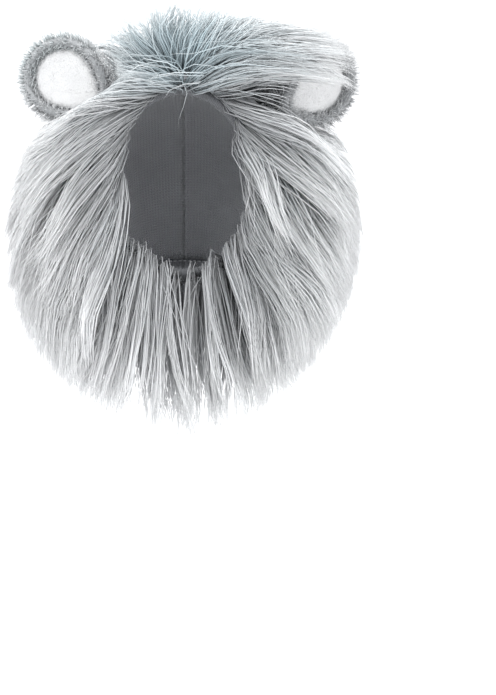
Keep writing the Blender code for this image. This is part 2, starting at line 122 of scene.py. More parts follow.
def smooth_rows(places: Sequence[float], rows: Array, at: Array) -> Array:
    """Values between table rows on the cubic Hermite curve through them.

    Args:
        places: the rows' positions, rising.
        rows: one row of numbers for each place.
        at: positions to read.

    Returns:
        One row of numbers for each position.
    """
    places = np.asarray(places, float)
    rows = np.asarray(rows, float)
    slopes = np.gradient(rows, places, axis=0)
    at = np.clip(np.asarray(at, float), places[0], places[-1])
    left = np.clip(np.searchsorted(places, at, side="right") - 1, 0, len(places) - 2)
    span = (places[left + 1] - places[left])[..., None]
    t = (at - places[left])[..., None] / span
    return (
        (1 + 2 * t) * (1 - t) ** 2 * rows[left]
        + t * (1 - t) ** 2 * span * slopes[left]
        + t**2 * (3 - 2 * t) * rows[left + 1]
        - t**2 * (1 - t) * span * slopes[left + 1]
    )


# ---------------------------------------------------------------- shader maths


class Sock:
    """A shader socket that takes part in Python expressions, scalar by scalar."""

    def __init__(self, graph: "Graph", socket: bpy.types.NodeSocket) -> None:
        """Wraps a socket of a graph."""
        self.graph = graph
        self.socket = socket

    def _with(self, operation: str, *others: "Sock | float") -> "Sock":
        """One Math node on this socket and the others.

        Args:
            operation: the node's operation.
            *others: its further inputs.

        Returns:
            The result.
        """
        return self.graph.maths(operation, self, *others)

    def __add__(self, other: "Sock | float") -> "Sock":
        """The sum of both."""
        return self._with("ADD", other)

    __radd__ = __add__

    def __mul__(self, other: "Sock | float") -> "Sock":
        """The product of both."""
        return self._with("MULTIPLY", other)

    __rmul__ = __mul__

    def __sub__(self, other: "Sock | float") -> "Sock":
        """This less the other."""
        return self._with("SUBTRACT", other)

    def __rsub__(self, other: "Sock | float") -> "Sock":
        """The other less this."""
        return self.graph.maths("SUBTRACT", other, self)

    def __truediv__(self, other: "Sock | float") -> "Sock":
        """This over the other."""
        return self._with("DIVIDE", other)

    def floor(self) -> "Sock":
        """The whole number below."""
        return self._with("FLOOR")

    def fract(self) -> "Sock":
        """What is left above the whole number below."""
        return self._with("FRACT")

    def sine(self) -> "Sock":
        """The sine of the value in radians."""
        return self._with("SINE")

    def absolute(self) -> "Sock":
        """The value without its sign."""
        return self._with("ABSOLUTE")

    def step(self, low: float, high: float) -> "Sock":
        """The S-curve from 0 at low to 1 at high.

        Args:
            low: where it leaves 0.
            high: where it reaches 1.

        Returns:
            The curve's value.
        """
        t = ((self - low) / (high - low))._with("MAXIMUM", 0.0)._with("MINIMUM", 1.0)
        return t * t * (3.0 - 2.0 * t)


class Graph:
    """A material's node tree, built through expressions."""

    def __init__(self, name: str) -> None:
        """Makes a material with a Principled shader.

        Args:
            name: the material's name.
        """
        self.material = bpy.data.materials.new(name)
        self.material.use_nodes = True
        self.tree = self.material.node_tree
        self.shader = self.tree.nodes["Principled BSDF"]

    def put(self, socket: bpy.types.NodeSocket, value: object) -> None:
        """Links a socket, or sets its value.

        Args:
            socket: the input to feed.
            value: a Sock, another socket, a number or a row of numbers.
        """
        if isinstance(value, Sock):
            self.tree.links.new(value.socket, socket)
        elif isinstance(value, bpy.types.NodeSocket):
            self.tree.links.new(value, socket)
        elif isinstance(value, (int, float)):
            socket.default_value = float(value)
        else:
            numbers = list(value)
            if len(numbers) == 3 and socket.type == "RGBA":
                numbers.append(1.0)
            socket.default_value = numbers

    def node(self, kind: str, settings: dict[str, object], **inputs: object) -> bpy.types.Node:
        """Any node, with its settings and inputs.

        Args:
            kind: the node's type name.
            settings: attributes to set on it.
            **inputs: values for its inputs, by name with spaces as underscores.

        Returns:
            The node.
        """
        made = self.tree.nodes.new(kind)
        for name, value in settings.items():
            setattr(made, name, value)
        for name, value in inputs.items():
            self.put(made.inputs[name.replace("_", " ")], value)
        return made

    def maths(self, operation: str, *values: "Sock | float") -> Sock:
        """One Math node.

        Args:
            operation: its operation.
            *values: its inputs in order.

        Returns:
            Its result.
        """
        made = self.node("ShaderNodeMath", {"operation": operation})
        for socket, value in zip(made.inputs, values):
            self.put(socket, value)
        return Sock(self, made.outputs[0])

    def mix(
        self, share: object, first: object, second: object, blend: str = "MIX"
    ) -> bpy.types.NodeSocket:
        """A colour between two, by a Mix node.

        Args:
            share: 0 for the first and 1 for the second.
            first: a colour or socket.
            second: a colour or socket.
            blend: the way of mixing.

        Returns:
            The mixed colour's socket.
        """
        made = self.node("ShaderNodeMix", {"data_type": "RGBA", "blend_type": blend})
        self.put(made.inputs[0], share)
        self.put(made.inputs[6], first)
        self.put(made.inputs[7], second)
        return made.outputs[2]

    def uv(self, name: str) -> bpy.types.NodeSocket:
        """A vector holding the piece's own UV map."""
        return self.node("ShaderNodeUVMap", {"uv_map": name}).outputs[0]

    def place(self) -> bpy.types.NodeSocket:
        """A vector holding the point in the piece's own space, in metres."""
        return self.node("ShaderNodeTexCoord", {}).outputs["Object"]

    def parts(self, vector: object) -> tuple[Sock, Sock, Sock]:
        """A vector's three parts as numbers.

        Args:
            vector: a vector's socket.

        Returns:
            The numbers x, y and z.
        """
        made = self.node("ShaderNodeSeparateXYZ", {}, Vector=vector)
        return tuple(Sock(self, output) for output in made.outputs)

    def noise(self, vector: object, scale: float, detail: float = 2.0) -> Sock:
        """Smooth noise from 0 to 1 at this many cells a metre.

        Args:
            vector: where to read it.
            scale: cells a metre.
            detail: finer layers.

        Returns:
            The noise.
        """
        made = self.node("ShaderNodeTexNoise", {}, Vector=vector, Scale=scale, Detail=detail)
        return Sock(self, made.outputs[0])

    def finish(
        self,
        colour: object,
        roughness: object,
        height: "Sock | None" = None,
        depth: float = 0.0,
        sheen: float = 0.0,
    ) -> bpy.types.Material:
        """Feeds the shader and hands back the material.

        Args:
            colour: base colour.
            roughness: roughness.
            height: a height for a bump, from 0 to 1, if any.
            depth: the bump's depth in metres.
            sheen: constant weight of the cloth sheen.

        Returns:
            The material.
        """
        self.put(self.shader.inputs["Base Color"], colour)
        self.put(self.shader.inputs["Roughness"], roughness)
        self.shader.inputs["Sheen Weight"].default_value = sheen
        self.shader.inputs["Sheen Roughness"].default_value = 0.5
        self.shader.inputs["Specular IOR Level"].default_value = 0.3
        if height is not None:
            bump = self.node("ShaderNodeBump", {}, Height=height, Distance=depth)
            self.put(self.shader.inputs["Normal"], bump.outputs[0])
        return self.material


@dataclass(frozen=True)
class StrandFinish:
    """Pile whose colour runs from root to tip, with a shade and a blue share for each strand.
    The darker roots are painted shade deep in the pile.

    The strand map holds (blue level + shade) / LEVELS across and the way from root to tip up.
    """

    name: str
    root: Colour
    middle: Colour
    tip: Colour
    blue_root: Colour
    blue_middle: Colour
    blue_tip: Colour
    roughness: float = 0.5
    spread: float = 0.34

    LEVELS = 8

    def material(self) -> bpy.types.Material:
        """Builds the material.

        Returns:
            The finished material.
        """
        graph = Graph(self.name)
        across, along, _ = graph.parts(graph.uv(STRAND_UV))
        blue = (across * float(self.LEVELS)).floor() / float(self.LEVELS - 1)
        shade = (across * float(self.LEVELS)).fract()
        # Dark root to pale tip: painted shade deep in the pile, lifting towards the tips.
        low, high = along.step(0.02, 0.40), along.step(0.38, 0.90)
        plain = graph.mix(high, graph.mix(low, self.root, self.middle), self.tip)
        tinted = graph.mix(high, graph.mix(low, self.blue_root, self.blue_middle), self.blue_tip)
        light = 1.0 - self.spread + shade * (1.5 * self.spread)
        grey = graph.node("ShaderNodeCombineColor", {}, Red=light, Green=light, Blue=light)
        colour = graph.mix(1.0, graph.mix(blue, plain, tinted), grey.outputs[0], "MULTIPLY")
        return graph.finish(colour, self.roughness, sheen=0.15)


@dataclass(frozen=True)
class PlushFinish:
    """Short pile on cloth: a mottled colour and a fine fuzzy bump in object space. The colour is partly the
    bump's height, painted shade in its dips, and partly broad mottle.
    """

    name: str
    dark: Colour
    light: Colour
    cells: float = 900.0
    depth: float = 0.0006

    def material(self) -> bpy.types.Material:
        """Builds the material.

        Returns:
            The finished material.
        """
        graph = Graph(self.name)
        place = graph.place()
        fuzz = graph.noise(place, self.cells, 4.0)
        patch = graph.noise(place, self.cells / 9, 2.0)
        # Darker where the fuzz sits low, as painted shade, mixed with broad patches of real mottle.
        colour = graph.mix((fuzz * 0.6 + patch * 0.4).step(0.3, 0.7), self.dark, self.light)
        return graph.finish(colour, 0.9, fuzz, self.depth, sheen=0.4)


@dataclass(frozen=True)
class KnitFinish:
    """Plain knit: columns of V stitches, from the cloth map in metres. Its colour darkens where the stitches
    sit low, as painted shade between them.

    Height is |sin(pi x / w)| times the ridge |sin(pi (y / h + 0.5 |2 fract(x / w) - 1|))|.
    """

    name: str
    dark: Colour
    light: Colour
    wale: float = 0.0018
    course: float = 0.0014

    def material(self) -> bpy.types.Material:
        """Builds the material.

        Returns:
            The finished material.
        """
        graph = Graph(self.name)
        x, y, _ = graph.parts(graph.uv(CLOTH_UV))
        column = (x / self.wale).fract()
        slant = (column * 2.0 - 1.0).absolute()
        ridge = ((y / self.course + slant * 0.5) * math.pi).sine().absolute()
        edge = (column * math.pi).sine().absolute()
        height = ridge * 0.6 + edge * 0.4
        patch = graph.noise(graph.place(), 60.0, 3.0)
        # Colour follows the stitch height, with painted shade in the dips, mixed with broad mottle.
        colour = graph.mix(height * 0.6 + patch * 0.4, self.dark, self.light)
        return graph.finish(colour, 0.92, height, 0.0004, sheen=0.25)


@dataclass(frozen=True)
class TapeFinish:
    """Folded stretch tape: fine ribs across it, from the cloth map in metres. Its grooves are darker, as
    painted shade.
    """

    name: str
    dark: Colour
    light: Colour
    rib: float = 0.0011

    def material(self) -> bpy.types.Material:
        """Builds the material.

        Returns:
            The finished material.
        """
        graph = Graph(self.name)
        x, y, _ = graph.parts(graph.uv(CLOTH_UV))
        ribs = (x * (math.pi / self.rib)).sine().absolute()
        cross = (y * (math.pi / (self.rib * 0.6))).sine().absolute()
        height = ribs * 0.7 + cross * 0.3
        # Colour follows the rib height, so the grooves get painted shade.
        colour = graph.mix(height, self.dark, self.light)
        return graph.finish(colour, 0.8, height, 0.0003, sheen=0.2)


@dataclass(frozen=True)
class ThreadFinish:
    """Sewing thread with a slight change of tone from stitch to stitch."""

    name: str
    dark: Colour
    light: Colour

    def material(self) -> bpy.types.Material:
        """Builds the material.

        Returns:
            The finished material.
        """
        graph = Graph(self.name)
        colour = graph.mix(graph.noise(graph.place(), 400.0), self.dark, self.light)
        return graph.finish(colour, 0.55)


# ---------------------------------------------------------------- meshes from arrays


@dataclass
class Build:
    """Points, quads, triangles and maps of a mesh that is put together from arrays."""

    points: list[Array] = field(default_factory=list)
    quads: list[Array] = field(default_factory=list)
    tris: list[Array] = field(default_factory=list)
    quad_uv: list[Array] = field(default_factory=list)
    tri_uv: list[Array] = field(default_factory=list)
    count: int = 0

    def add(self, points: Array, quads: Array, tris: Array, uv: Array) -> None:
        """Adds a body.

        Args:
            points: its points, one row each.
            quads: corner numbers of its quads, within these points.
            tris: corner numbers of its triangles.
            uv: a map place for each point.
        """
        self.points.append(points)
        self.quads.append(quads + self.count)
        self.tris.append(tris + self.count)
        self.quad_uv.append(uv[quads])
        self.tri_uv.append(uv[tris])
        self.count += len(points)

    def make(self, name: str, uv_name: str, finish: bpy.types.Material) -> bpy.types.Object:
        """Makes the object.

        Args:
            name: the object's name.
            uv_name: the map's name.
            finish: its material.

        Returns:
            The object, shaded smooth.
        """
        points = np.concatenate(self.points).astype(np.float32)
        quads = np.concatenate(self.quads).reshape(-1, 4)
        tris = np.concatenate(self.tris).reshape(-1, 3)
        corners = np.concatenate([quads.ravel(), tris.ravel()]).astype(np.int32)
        starts = np.concatenate(
            [np.arange(len(quads)) * 4, len(quads) * 4 + np.arange(len(tris)) * 3]
        ).astype(np.int32)
        places = np.concatenate(
            [np.concatenate(self.quad_uv).reshape(-1, 2), np.concatenate(self.tri_uv).reshape(-1, 2)]
        ).astype(np.float32)
        mesh = bpy.data.meshes.new(name)
        mesh.vertices.add(len(points))
        mesh.vertices.foreach_set("co", points.ravel())
        mesh.loops.add(len(corners))
        mesh.loops.foreach_set("vertex_index", corners)
        mesh.polygons.add(len(starts))
        mesh.polygons.foreach_set("loop_start", starts)
        mesh.update(calc_edges=True)
        layer = mesh.uv_layers.new(name=uv_name)
        layer.uv.foreach_set("vector", places.ravel())
        mesh.polygons.foreach_set("use_smooth", np.ones(len(starts), bool))
        mesh.materials.append(finish)
        mesh.validate()
        made = bpy.data.objects.new(name, mesh)
        bpy.context.scene.collection.objects.link(made)
        return made


def ring_quads(rows: int, columns: int, wrap: bool) -> Array:
    """Quads between rows of points on closed rings.

    Args:
        rows: number of rings.
        columns: points in each ring.
        wrap: whether the last ring joins the first.

    Returns:
        Corner numbers, one row for each quad.
    """
    row = np.arange(rows if wrap else rows - 1)[:, None]
    column = np.arange(columns)[None, :]
    after, above = (column + 1) % columns, (row + 1) % rows
    here, over = row * columns, above * columns
    return np.stack([here + column, here + after, over + after, over + column], -1).reshape(-1, 4)


def tubes(
    build: Build, paths: Array, radii: Array, lean: Array, uv_x: Array, uv_half: float
) -> None:
    """Adds pointed three-sided tubes along paths: corner = centre + r (cos a U + sin a V).

    U is the lean made square to the path, and V the cross product of path and U.

    Args:
        build: the mesh to add to.
        paths: (strands, steps, 3) centre points, the last one the tip.
        radii: (strands, steps) radii.
        lean: (strands, 3) a direction across each strand.
        uv_x: (strands,) place of each strand across the map.
        uv_half: half the width that a strand takes on the map.
    """
    count, steps = paths.shape[:2]
    if not count:
        return
    along = unit(np.gradient(paths, axis=1))
    side = unit(lean[:, None] - along * (along * lean[:, None]).sum(-1, keepdims=True))
    over = np.cross(along, side)
    angle = np.array([0.5, 0.5 + 2 / 3, 0.5 + 4 / 3]) * math.pi
    ring = side[:, :-1, None] * np.cos(angle)[None, None, :, None]
    ring = ring + over[:, :-1, None] * np.sin(angle)[None, None, :, None]
    rings = paths[:, :-1, None] + ring * radii[:, :-1, None, None]
    body = np.concatenate([rings.reshape(count, -1, 3), paths[:, -1:]], axis=1)
    each = (steps - 1) * 3 + 1
    quads = ring_quads(steps - 1, 3, wrap=False)
    last = (steps - 2) * 3
    tip = each - 1
    tris = np.array([[2, 1, 0], [last, last + 1, tip], [last + 1, last + 2, tip], [last + 2, last, tip]])
    start = (np.arange(count) * each)[:, None, None]
    t = np.linspace(0.01, 0.99, steps)
    spread = np.array([-1.0, 0.0, 1.0]) * uv_half
    uv = np.empty((count, each, 2))
    across = (uv_x[:, None, None] + spread[None, None, :]).repeat(steps - 1, axis=1)
    uv[:, :-1, 0] = across.reshape(count, -1)
    uv[:, :-1, 1] = t[:-1].repeat(3)[None, :]
    uv[:, -1, 0] = uv_x
    uv[:, -1, 1] = t[-1]
    build.add(
        body.reshape(-1, 3),
        (quads[None] + start).reshape(-1, 4),
        (tris[None] + start).reshape(-1, 3),
        uv.reshape(-1, 2),
    )


# ---------------------------------------------------------------- the form that carries it


@dataclass(frozen=True)
class HoodForm:
    """The hood's surface: ovals on planes that fan out from the throat.

    A point is the section's low point plus h/2 (1 + cos c) along its tilted upright, at
    x = w/2 sin c, with c the clock angle round the face.
    """

    hood: tuple[float, float] = (0.104, 0.118)
    face: tuple[float, float] = (0.075, 0.097)
    neck: tuple[float, float] = (0.084, 0.078)
    cloth: float = 0.002
    gap: float = 0.0003
    tape: float = 0.001
    tape_leg: float = 0.004
    ground: float = 0.003
    core: float = 0.006
    throat_core: float = 0.15

    SECTIONS = (
        # share, tilt in degrees, low_back, low_down, of, width, height
        (0.00, 0.0, 0.000, 0.000, "face", 1.00, 1.00),
        (0.12, 8.0, 0.025, 0.030, "hood", 0.87, 0.90),
        (0.30, 24.0, 0.055, 0.080, "hood", 0.97, 1.00),
        (0.50, 38.0, 0.070, 0.115, "hood", 1.00, 1.01),
        (0.70, 51.0, 0.090, 0.145, "hood", 0.96, 0.89),
        (0.85, 62.0, 0.110, 0.170, "hood", 0.88, 0.79),
        (1.00, 72.0, 0.135, 0.195, "neck", 1.00, 1.00),
    )

    def rows(self) -> list[tuple[float, ...]]:
        """The section table in metres and radians.

        Returns:
            Tilt, low point back and down, width and height of each section.
        """
        made = []
        for _, tilt, back, down, of, width, height in self.SECTIONS:
            full = getattr(self, of)
            tall = self.hood[1]
            made.append((math.radians(tilt), back * tall, -down * tall, width * full[0], height * full[1]))
        return made

    def raw(self, share: Array, clock: Array) -> Array:
        """The inside surface, from the face rim's lowest point.

        Args:
            share: way from face rim to neck rim, 0 to 1.
            clock: clock angle in radians.

        Returns:
            Points.
        """
        share, clock = np.broadcast_arrays(np.asarray(share, float), np.asarray(clock, float))
        places = [row[0] for row in self.SECTIONS]
        tilt, low_y, low_z, width, height = np.moveaxis(smooth_rows(places, self.rows(), share), -1, 0)
        up = height / 2 * (1 + np.cos(clock))
        x = width / 2 * np.sin(clock)
        return np.stack([x, low_y + up * np.sin(tilt), low_z + up * np.cos(tilt)], -1)

    def crown(self) -> Array:
        """The highest point of the inside, which the origin sits on.

        Returns:
            The point, from the face rim's lowest one.
        """
        line = self.raw(np.linspace(0.0, 1.0, 2001), 0.0)
        return line[np.argmax(line[:, 2])]

    def at(self, share: Array, clock: Array, lift: Array | float = 0.0) -> tuple[Array, Array]:
        """Points lifted off the inside along the normal, from the crown seat, and the normals.

        Args:
            share: way from face rim to neck rim, 0 to 1.
            clock: clock angle in radians.
            lift: metres off the inside.

        Returns:
            Points and normals.
        """
        share, clock = np.broadcast_arrays(np.asarray(share, float), np.asarray(clock, float))
        step = 1e-4
        inner = np.clip(share, step, 1 - step)
        along = self.raw(inner + step, clock) - self.raw(inner - step, clock)
        around = self.raw(inner, clock + step) - self.raw(inner, clock - step)
        normal = unit(np.cross(around, along))
        return self.raw(share, clock) - self.crown() + normal * np.asarray(lift)[..., None], normal

    def speed(self, share: Array, clock: Array) -> Array:
        """Metres of hood for each unit of share.

        Args:
            share: way from face rim to neck rim, 0 to 1.
            clock: clock angle in radians.

        Returns:
            Lengths in metres.
        """
        step = 1e-3
        low = np.clip(share, 0, 1 - step)
        return np.linalg.norm(self.raw(low + step, clock) - self.raw(low, clock), axis=-1) / step

    def rim_share(self, length: float, clock: Array, at_neck: bool) -> Array:
        """The share that lies this far along the hood from a rim.

        Args:
            length: metres in from the rim.
            clock: clock angle in radians.
            at_neck: whether the rim is the neck's.

        Returns:
            Shares.
        """
        end = 1.0 if at_neck else 0.0
        place = np.full_like(np.asarray(clock, float), end)
        for _ in range(4):
            travelled = length / self.speed((place + end) / 2, clock)
            place = 1.0 - travelled if at_neck else travelled
        return place

    def between(self, clear: float, part: Array, clock: Array) -> Array:
        """The share at a part of the way across, from this far inside each rim.

        Args:
            clear: metres kept from each rim.
            part: part of the way across.
            clock: clock angle in radians.

        Returns:
            Shares.
        """
        begin, end = self.rim_share(clear, clock, False), self.rim_share(clear, clock, True)
        return begin + (end - begin) * part

    def fur(self, part: Array, clock: Array, lift: Array | float = 0.0) -> Array:
        """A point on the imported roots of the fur.

        Args:
            part: part of the way across the ground.
            clock: clock angle in radians.
            lift: metres over the roots.

        Returns:
            Points.
        """
        across = np.sin(math.pi * np.clip(part, 0, 1)) ** 0.7
        full = self.throat_core + (1 - self.throat_core) * np.cos(clock / 2) ** 2
        depth = self.ground + self.core * across * full
        share = self.between(self.tape_leg + 2 * self.gap, part, clock)
        return self.at(share, clock, self.cloth + self.gap + depth + lift)[0]


@dataclass(frozen=True)
class Growth:
    """Which way the pile grows and falls, from a table of places on the hood."""

    pile: float = 0.098

    TABLE = (
        # share, clock, root_x, root_y, root_z, tip_x, tip_y, tip_z, length
        (0.0, -180, 0.00, -0.81, -0.45, 0.00, 0.14, -1.00, 1.14),
        (0.0, -150, -0.04, -0.78, -0.46, -0.06, 0.14, -0.98, 1.10),
        (0.0, -120, -0.06, -0.74, -0.56, -0.12, 0.14, -0.98, 1.06),
        (0.0, -90, -0.10, -0.62, -0.76, -0.20, 0.12, -0.96, 1.06),
        (0.0, -62, -0.16, -0.60, -0.78, -0.30, 0.12, -0.94, 1.14),
        (0.0, -42, -0.42, -0.60, -0.66, -0.40, 0.12, -0.91, 1.24),
        (0.0, -28, -0.78, -0.50, -0.40, -0.48, 0.12, -0.88, 1.24),
        (0.0, -16, -0.88, -0.44, -0.22, -0.56, 0.12, -0.82, 1.10),
        (0.0, -5, -0.62, -0.64, 0.34, -0.80, 0.16, -0.30, 0.66),
        (0.0, 5, 0.56, -0.66, 0.36, 0.80, 0.16, -0.28, 0.66),
        (0.0, 14, 0.84, -0.46, 0.16, 0.72, 0.16, -0.62, 1.22),
        (0.0, 29, 0.80, -0.48, -0.20, 0.62, 0.16, -0.76, 1.24),
        (0.0, 44, 0.52, -0.60, -0.56, 0.42, 0.14, -0.89, 1.14),
        (0.0, 62, 0.24, -0.62, -0.74, 0.32, 0.12, -0.93, 1.10),
        (0.0, 90, 0.12, -0.64, -0.74, 0.22, 0.12, -0.96, 1.06),
        (0.0, 120, 0.06, -0.74, -0.56, 0.14, 0.14, -0.98, 1.04),
        (0.0, 150, 0.04, -0.78, -0.46, 0.06, 0.14, -0.98, 1.10),
        (0.12, -180, 0.00, -0.50, -0.87, 0.00, 0.05, -1.00, 1.10),
        (0.12, -150, -0.26, -0.46, -0.84, -0.12, 0.05, -0.98, 1.02),
        (0.12, -120, -0.50, -0.40, -0.76, -0.22, 0.06, -0.96, 0.98),
        (0.12, -90, -0.60, -0.38, -0.66, -0.32, 0.08, -0.94, 0.96),
        (0.12, -62, -0.66, -0.38, -0.56, -0.40, 0.10, -0.91, 1.00),
        (0.12, -44, -0.80, -0.32, -0.32, -0.48, 0.12, -0.86, 0.94),
        (0.12, -30, -0.74, -0.40, -0.02, -0.40, 0.30, -0.74, 0.66),
        (0.12, -14, -0.34, -0.14, 0.90, -0.36, 0.40, 0.72, 0.54),
        (0.12, 2, 0.00, -0.12, 0.96, 0.08, 0.45, 0.82, 0.55),
        (0.12, 16, 0.42, -0.14, 0.90, 0.88, 0.34, -0.10, 0.96),
        (0.12, 28, 0.60, -0.20, 0.76, 0.86, 0.28, -0.50, 1.20),
        (0.12, 44, 0.82, -0.30, 0.10, 0.56, 0.16, -0.78, 1.02),
        (0.12, 62, 0.70, -0.36, -0.48, 0.42, 0.10, -0.90, 0.98),
        (0.12, 90, 0.62, -0.38, -0.62, 0.32, 0.08, -0.94, 0.92),
        (0.12, 120, 0.50, -0.40, -0.76, 0.22, 0.06, -0.96, 0.96),
        (0.12, 150, 0.26, -0.46, -0.84, 0.12, 0.05, -0.98, 1.02),
        (0.3, -180, 0.00, -0.40, -0.92, 0.00, 0.10, -1.00, 0.98),
        (0.3, -150, -0.40, -0.25, -0.88, -0.16, 0.05, -0.98, 0.94),
        (0.3, -120, -0.80, -0.10, -0.56, -0.32, 0.06, -0.94, 0.84),
        (0.3, -90, -0.92, -0.05, -0.10, -0.36, 0.08, -0.92, 0.72),
        (0.3, -62, -0.85, 0.10, 0.14, -0.44, 0.16, -0.86, 0.64),
        (0.3, -35, -0.40, 0.35, 0.84, -0.45, 0.70, 0.35, 0.44),
        (0.3, 0, 0.00, 0.40, 0.90, 0.00, 0.90, 0.30, 0.46),
        (0.3, 35, 0.40, 0.35, 0.84, 0.60, 0.65, 0.20, 0.52),
        (0.3, 62, 0.85, 0.08, 0.20, 0.48, 0.16, -0.84, 0.66),
        (0.3, 90, 0.92, -0.05, -0.08, 0.34, 0.08, -0.93, 0.70),
        (0.3, 120, 0.80, -0.10, -0.56, 0.30, 0.06, -0.94, 0.82),
        (0.3, 150, 0.40, -0.25, -0.88, 0.16, 0.05, -0.98, 0.94),
        (0.65, -180, 0.00, -0.40, -0.92, 0.00, 0.00, -1.00, 0.78),
        (0.65, -120, -0.82, 0.00, -0.56, -0.24, 0.02, -0.97, 0.76),
        (0.65, -90, -0.88, 0.15, -0.20, -0.26, 0.05, -0.95, 0.70),
        (0.65, -60, -0.66, 0.40, 0.05, -0.24, 0.10, -0.96, 0.64),
        (0.65, -30, -0.32, 0.58, 0.12, -0.14, 0.12, -0.98, 0.62),
        (0.65, 0, 0.00, 0.62, 0.14, 0.00, 0.12, -0.99, 0.62),
        (0.65, 30, 0.32, 0.58, 0.12, 0.14, 0.12, -0.98, 0.62),
        (0.65, 60, 0.66, 0.40, 0.05, 0.24, 0.10, -0.96, 0.64),
        (0.65, 90, 0.88, 0.15, -0.20, 0.26, 0.05, -0.95, 0.70),
        (0.65, 120, 0.82, 0.00, -0.56, 0.24, 0.02, -0.97, 0.76),
        (1.0, -180, 0.00, -0.35, -0.93, 0.00, 0.00, -1.00, 0.70),
        (1.0, -135, -0.64, -0.20, -0.70, -0.12, 0.02, -0.98, 0.72),
        (1.0, -90, -0.74, 0.20, -0.58, -0.14, 0.04, -0.98, 0.72),
        (1.0, -45, -0.44, 0.56, -0.66, -0.08, 0.06, -0.99, 0.76),
        (1.0, 0, 0.00, 0.66, -0.72, 0.00, 0.06, -0.99, 0.78),
        (1.0, 45, 0.44, 0.56, -0.66, 0.08, 0.06, -0.99, 0.76),
        (1.0, 90, 0.74, 0.20, -0.58, 0.14, 0.04, -0.98, 0.72),
        (1.0, 135, 0.64, -0.20, -0.70, 0.12, 0.02, -0.98, 0.72),
    )

    def at(self, share: Array, clock_deg: Array) -> tuple[Array, Array, Array]:
        """Root direction, tip direction and length of the pile.

        Args:
            share: way from face rim to neck rim.
            clock_deg: clock angle in degrees.

        Returns:
            Two arrays of vectors, not yet at length one, and one of lengths.
        """
        table = np.asarray(self.TABLE, float)
        tiers = sorted(set(table[:, 0]))
        values = []
        for tier in tiers:
            rows = table[table[:, 0] == tier]
            columns = [np.interp(clock_deg, rows[:, 1], column, period=360) for column in rows[:, 2:].T]
            values.append(np.stack(columns, -1))
        values = np.asarray(values)
        place = np.interp(share, tiers, range(len(tiers)))
        low = np.minimum(place.astype(int), len(tiers) - 2)
        part = (place - low)[:, None]
        each = np.arange(len(clock_deg))
        mixed = values[low, each] * (1 - part) + values[low + 1, each] * part
        return mixed[:, 0:3], mixed[:, 3:6], mixed[:, 6] * self.pile


@dataclass(frozen=True)
class EarForm:
    """An ear's own axes and outline: a padded cup with a thick rim and a foot at the head."""

    side: Side
    middle: tuple[float, float, float]
    faces: tuple[float, float, float]
    points: tuple[float, float, float]
    width: float = 0.044
    height: float = 0.045
    foot: float = 0.010
    depth: float = 0.015

    SECTION = (
        # radius as a share of the outline, depth as a share of the ear's depth
        (0.00, -1.00),
        (0.40, -0.92),
        (0.74, -0.66),
        (0.94, -0.26),
        (1.00, 0.10),
        (0.96, 0.34),
        (0.88, 0.40),
        (0.80, 0.22),
        (0.72, -0.06),
        (0.40, -0.16),
        (0.00, -0.20),
    )
    LINING = (
        (0.00, -0.18),
        (0.40, -0.14),
        (0.68, -0.06),
        (0.73, 0.04),
        (0.68, 0.10),
        (0.40, 0.08),
        (0.00, 0.06),
    )

    def axes(self) -> tuple[Array, Array, Array]:
        """Unit vectors across the ear, the way it points and the way it faces.

        Returns:
            The three vectors.
        """
        faces = unit(self.faces)
        pointing = np.asarray(self.points, float)
        points = unit(pointing - faces * (pointing @ faces))
        return np.cross(points, faces), points, faces

    def outline(self, angle: Array) -> tuple[Array, Array]:
        """The rim's reach across and up at an angle: an oval drawn out at the foot.

        Args:
            angle: angle round the ear in radians.

        Returns:
            Metres across and up.
        """
        foot = np.clip(-np.sin(angle), 0, 1) ** 2
        across = self.width / 2 * np.cos(angle) * (1 - 0.22 * foot)
        up = self.height / 2 * np.sin(angle) - self.foot * foot
        return across, up

    def at(self, radius: Array, angle: Array, depth: Array) -> Array:
        """A point at a share of the outline and a depth in metres.

        Args:
            radius: share of the outline.
            angle: angle round the ear in radians.
            depth: metres towards where the ear faces.

        Returns:
            Points.
        """
        across, up = self.outline(angle)
        a, b, c = self.axes()
        radius, depth = np.asarray(radius)[..., None], np.asarray(depth)[..., None]
        return (
            np.asarray(self.middle)
            + across[..., None] * radius * a
            + up[..., None] * radius * b
            + depth * c
        )

    def profile(self, rows: Sequence[tuple[float, float]], part: Array) -> tuple[Array, Array]:
        """Radius share and depth in metres at a part of the way along a section.

        Args:
            rows: the section's radius and depth shares.
            part: 0 to 1 along it.

        Returns:
            Radius shares and depths.
        """
        table = np.asarray(rows, float)
        length = np.hypot(*np.diff(table, axis=0).T)
        places = np.concatenate([[0], np.cumsum(length)])
        found = smooth_rows(places / places[-1], table, part)
        return np.clip(found[..., 0], 0, None), found[..., 1] * self.depth

    def local(self, points: Array) -> tuple[Array, Array]:
        """Share of the outline that points lie at, and their depth in metres.

        Args:
            points: any array whose last axis is a point.

        Returns:
            Shares and depths.
        """
        a, b, c = self.axes()
        off = points - np.asarray(self.middle)
        across, up, out = off @ a, off @ b, off @ c
        angle = np.arctan2(up / self.height, across / self.width)
        rim = np.hypot(*self.outline(angle))
        return np.hypot(across, up) / rim, out


EARS = (
    EarForm(Side.LEFT, (-0.06552, 0.0104, 0.00364), (-0.22, -0.97, 0.08), (-0.80, 0.12, 0.60)),
    EarForm(Side.RIGHT, (0.0754, 0.0156, 0.00052), (0.62, -0.74, -0.22), (0.78, 0.45, 0.44)),
)

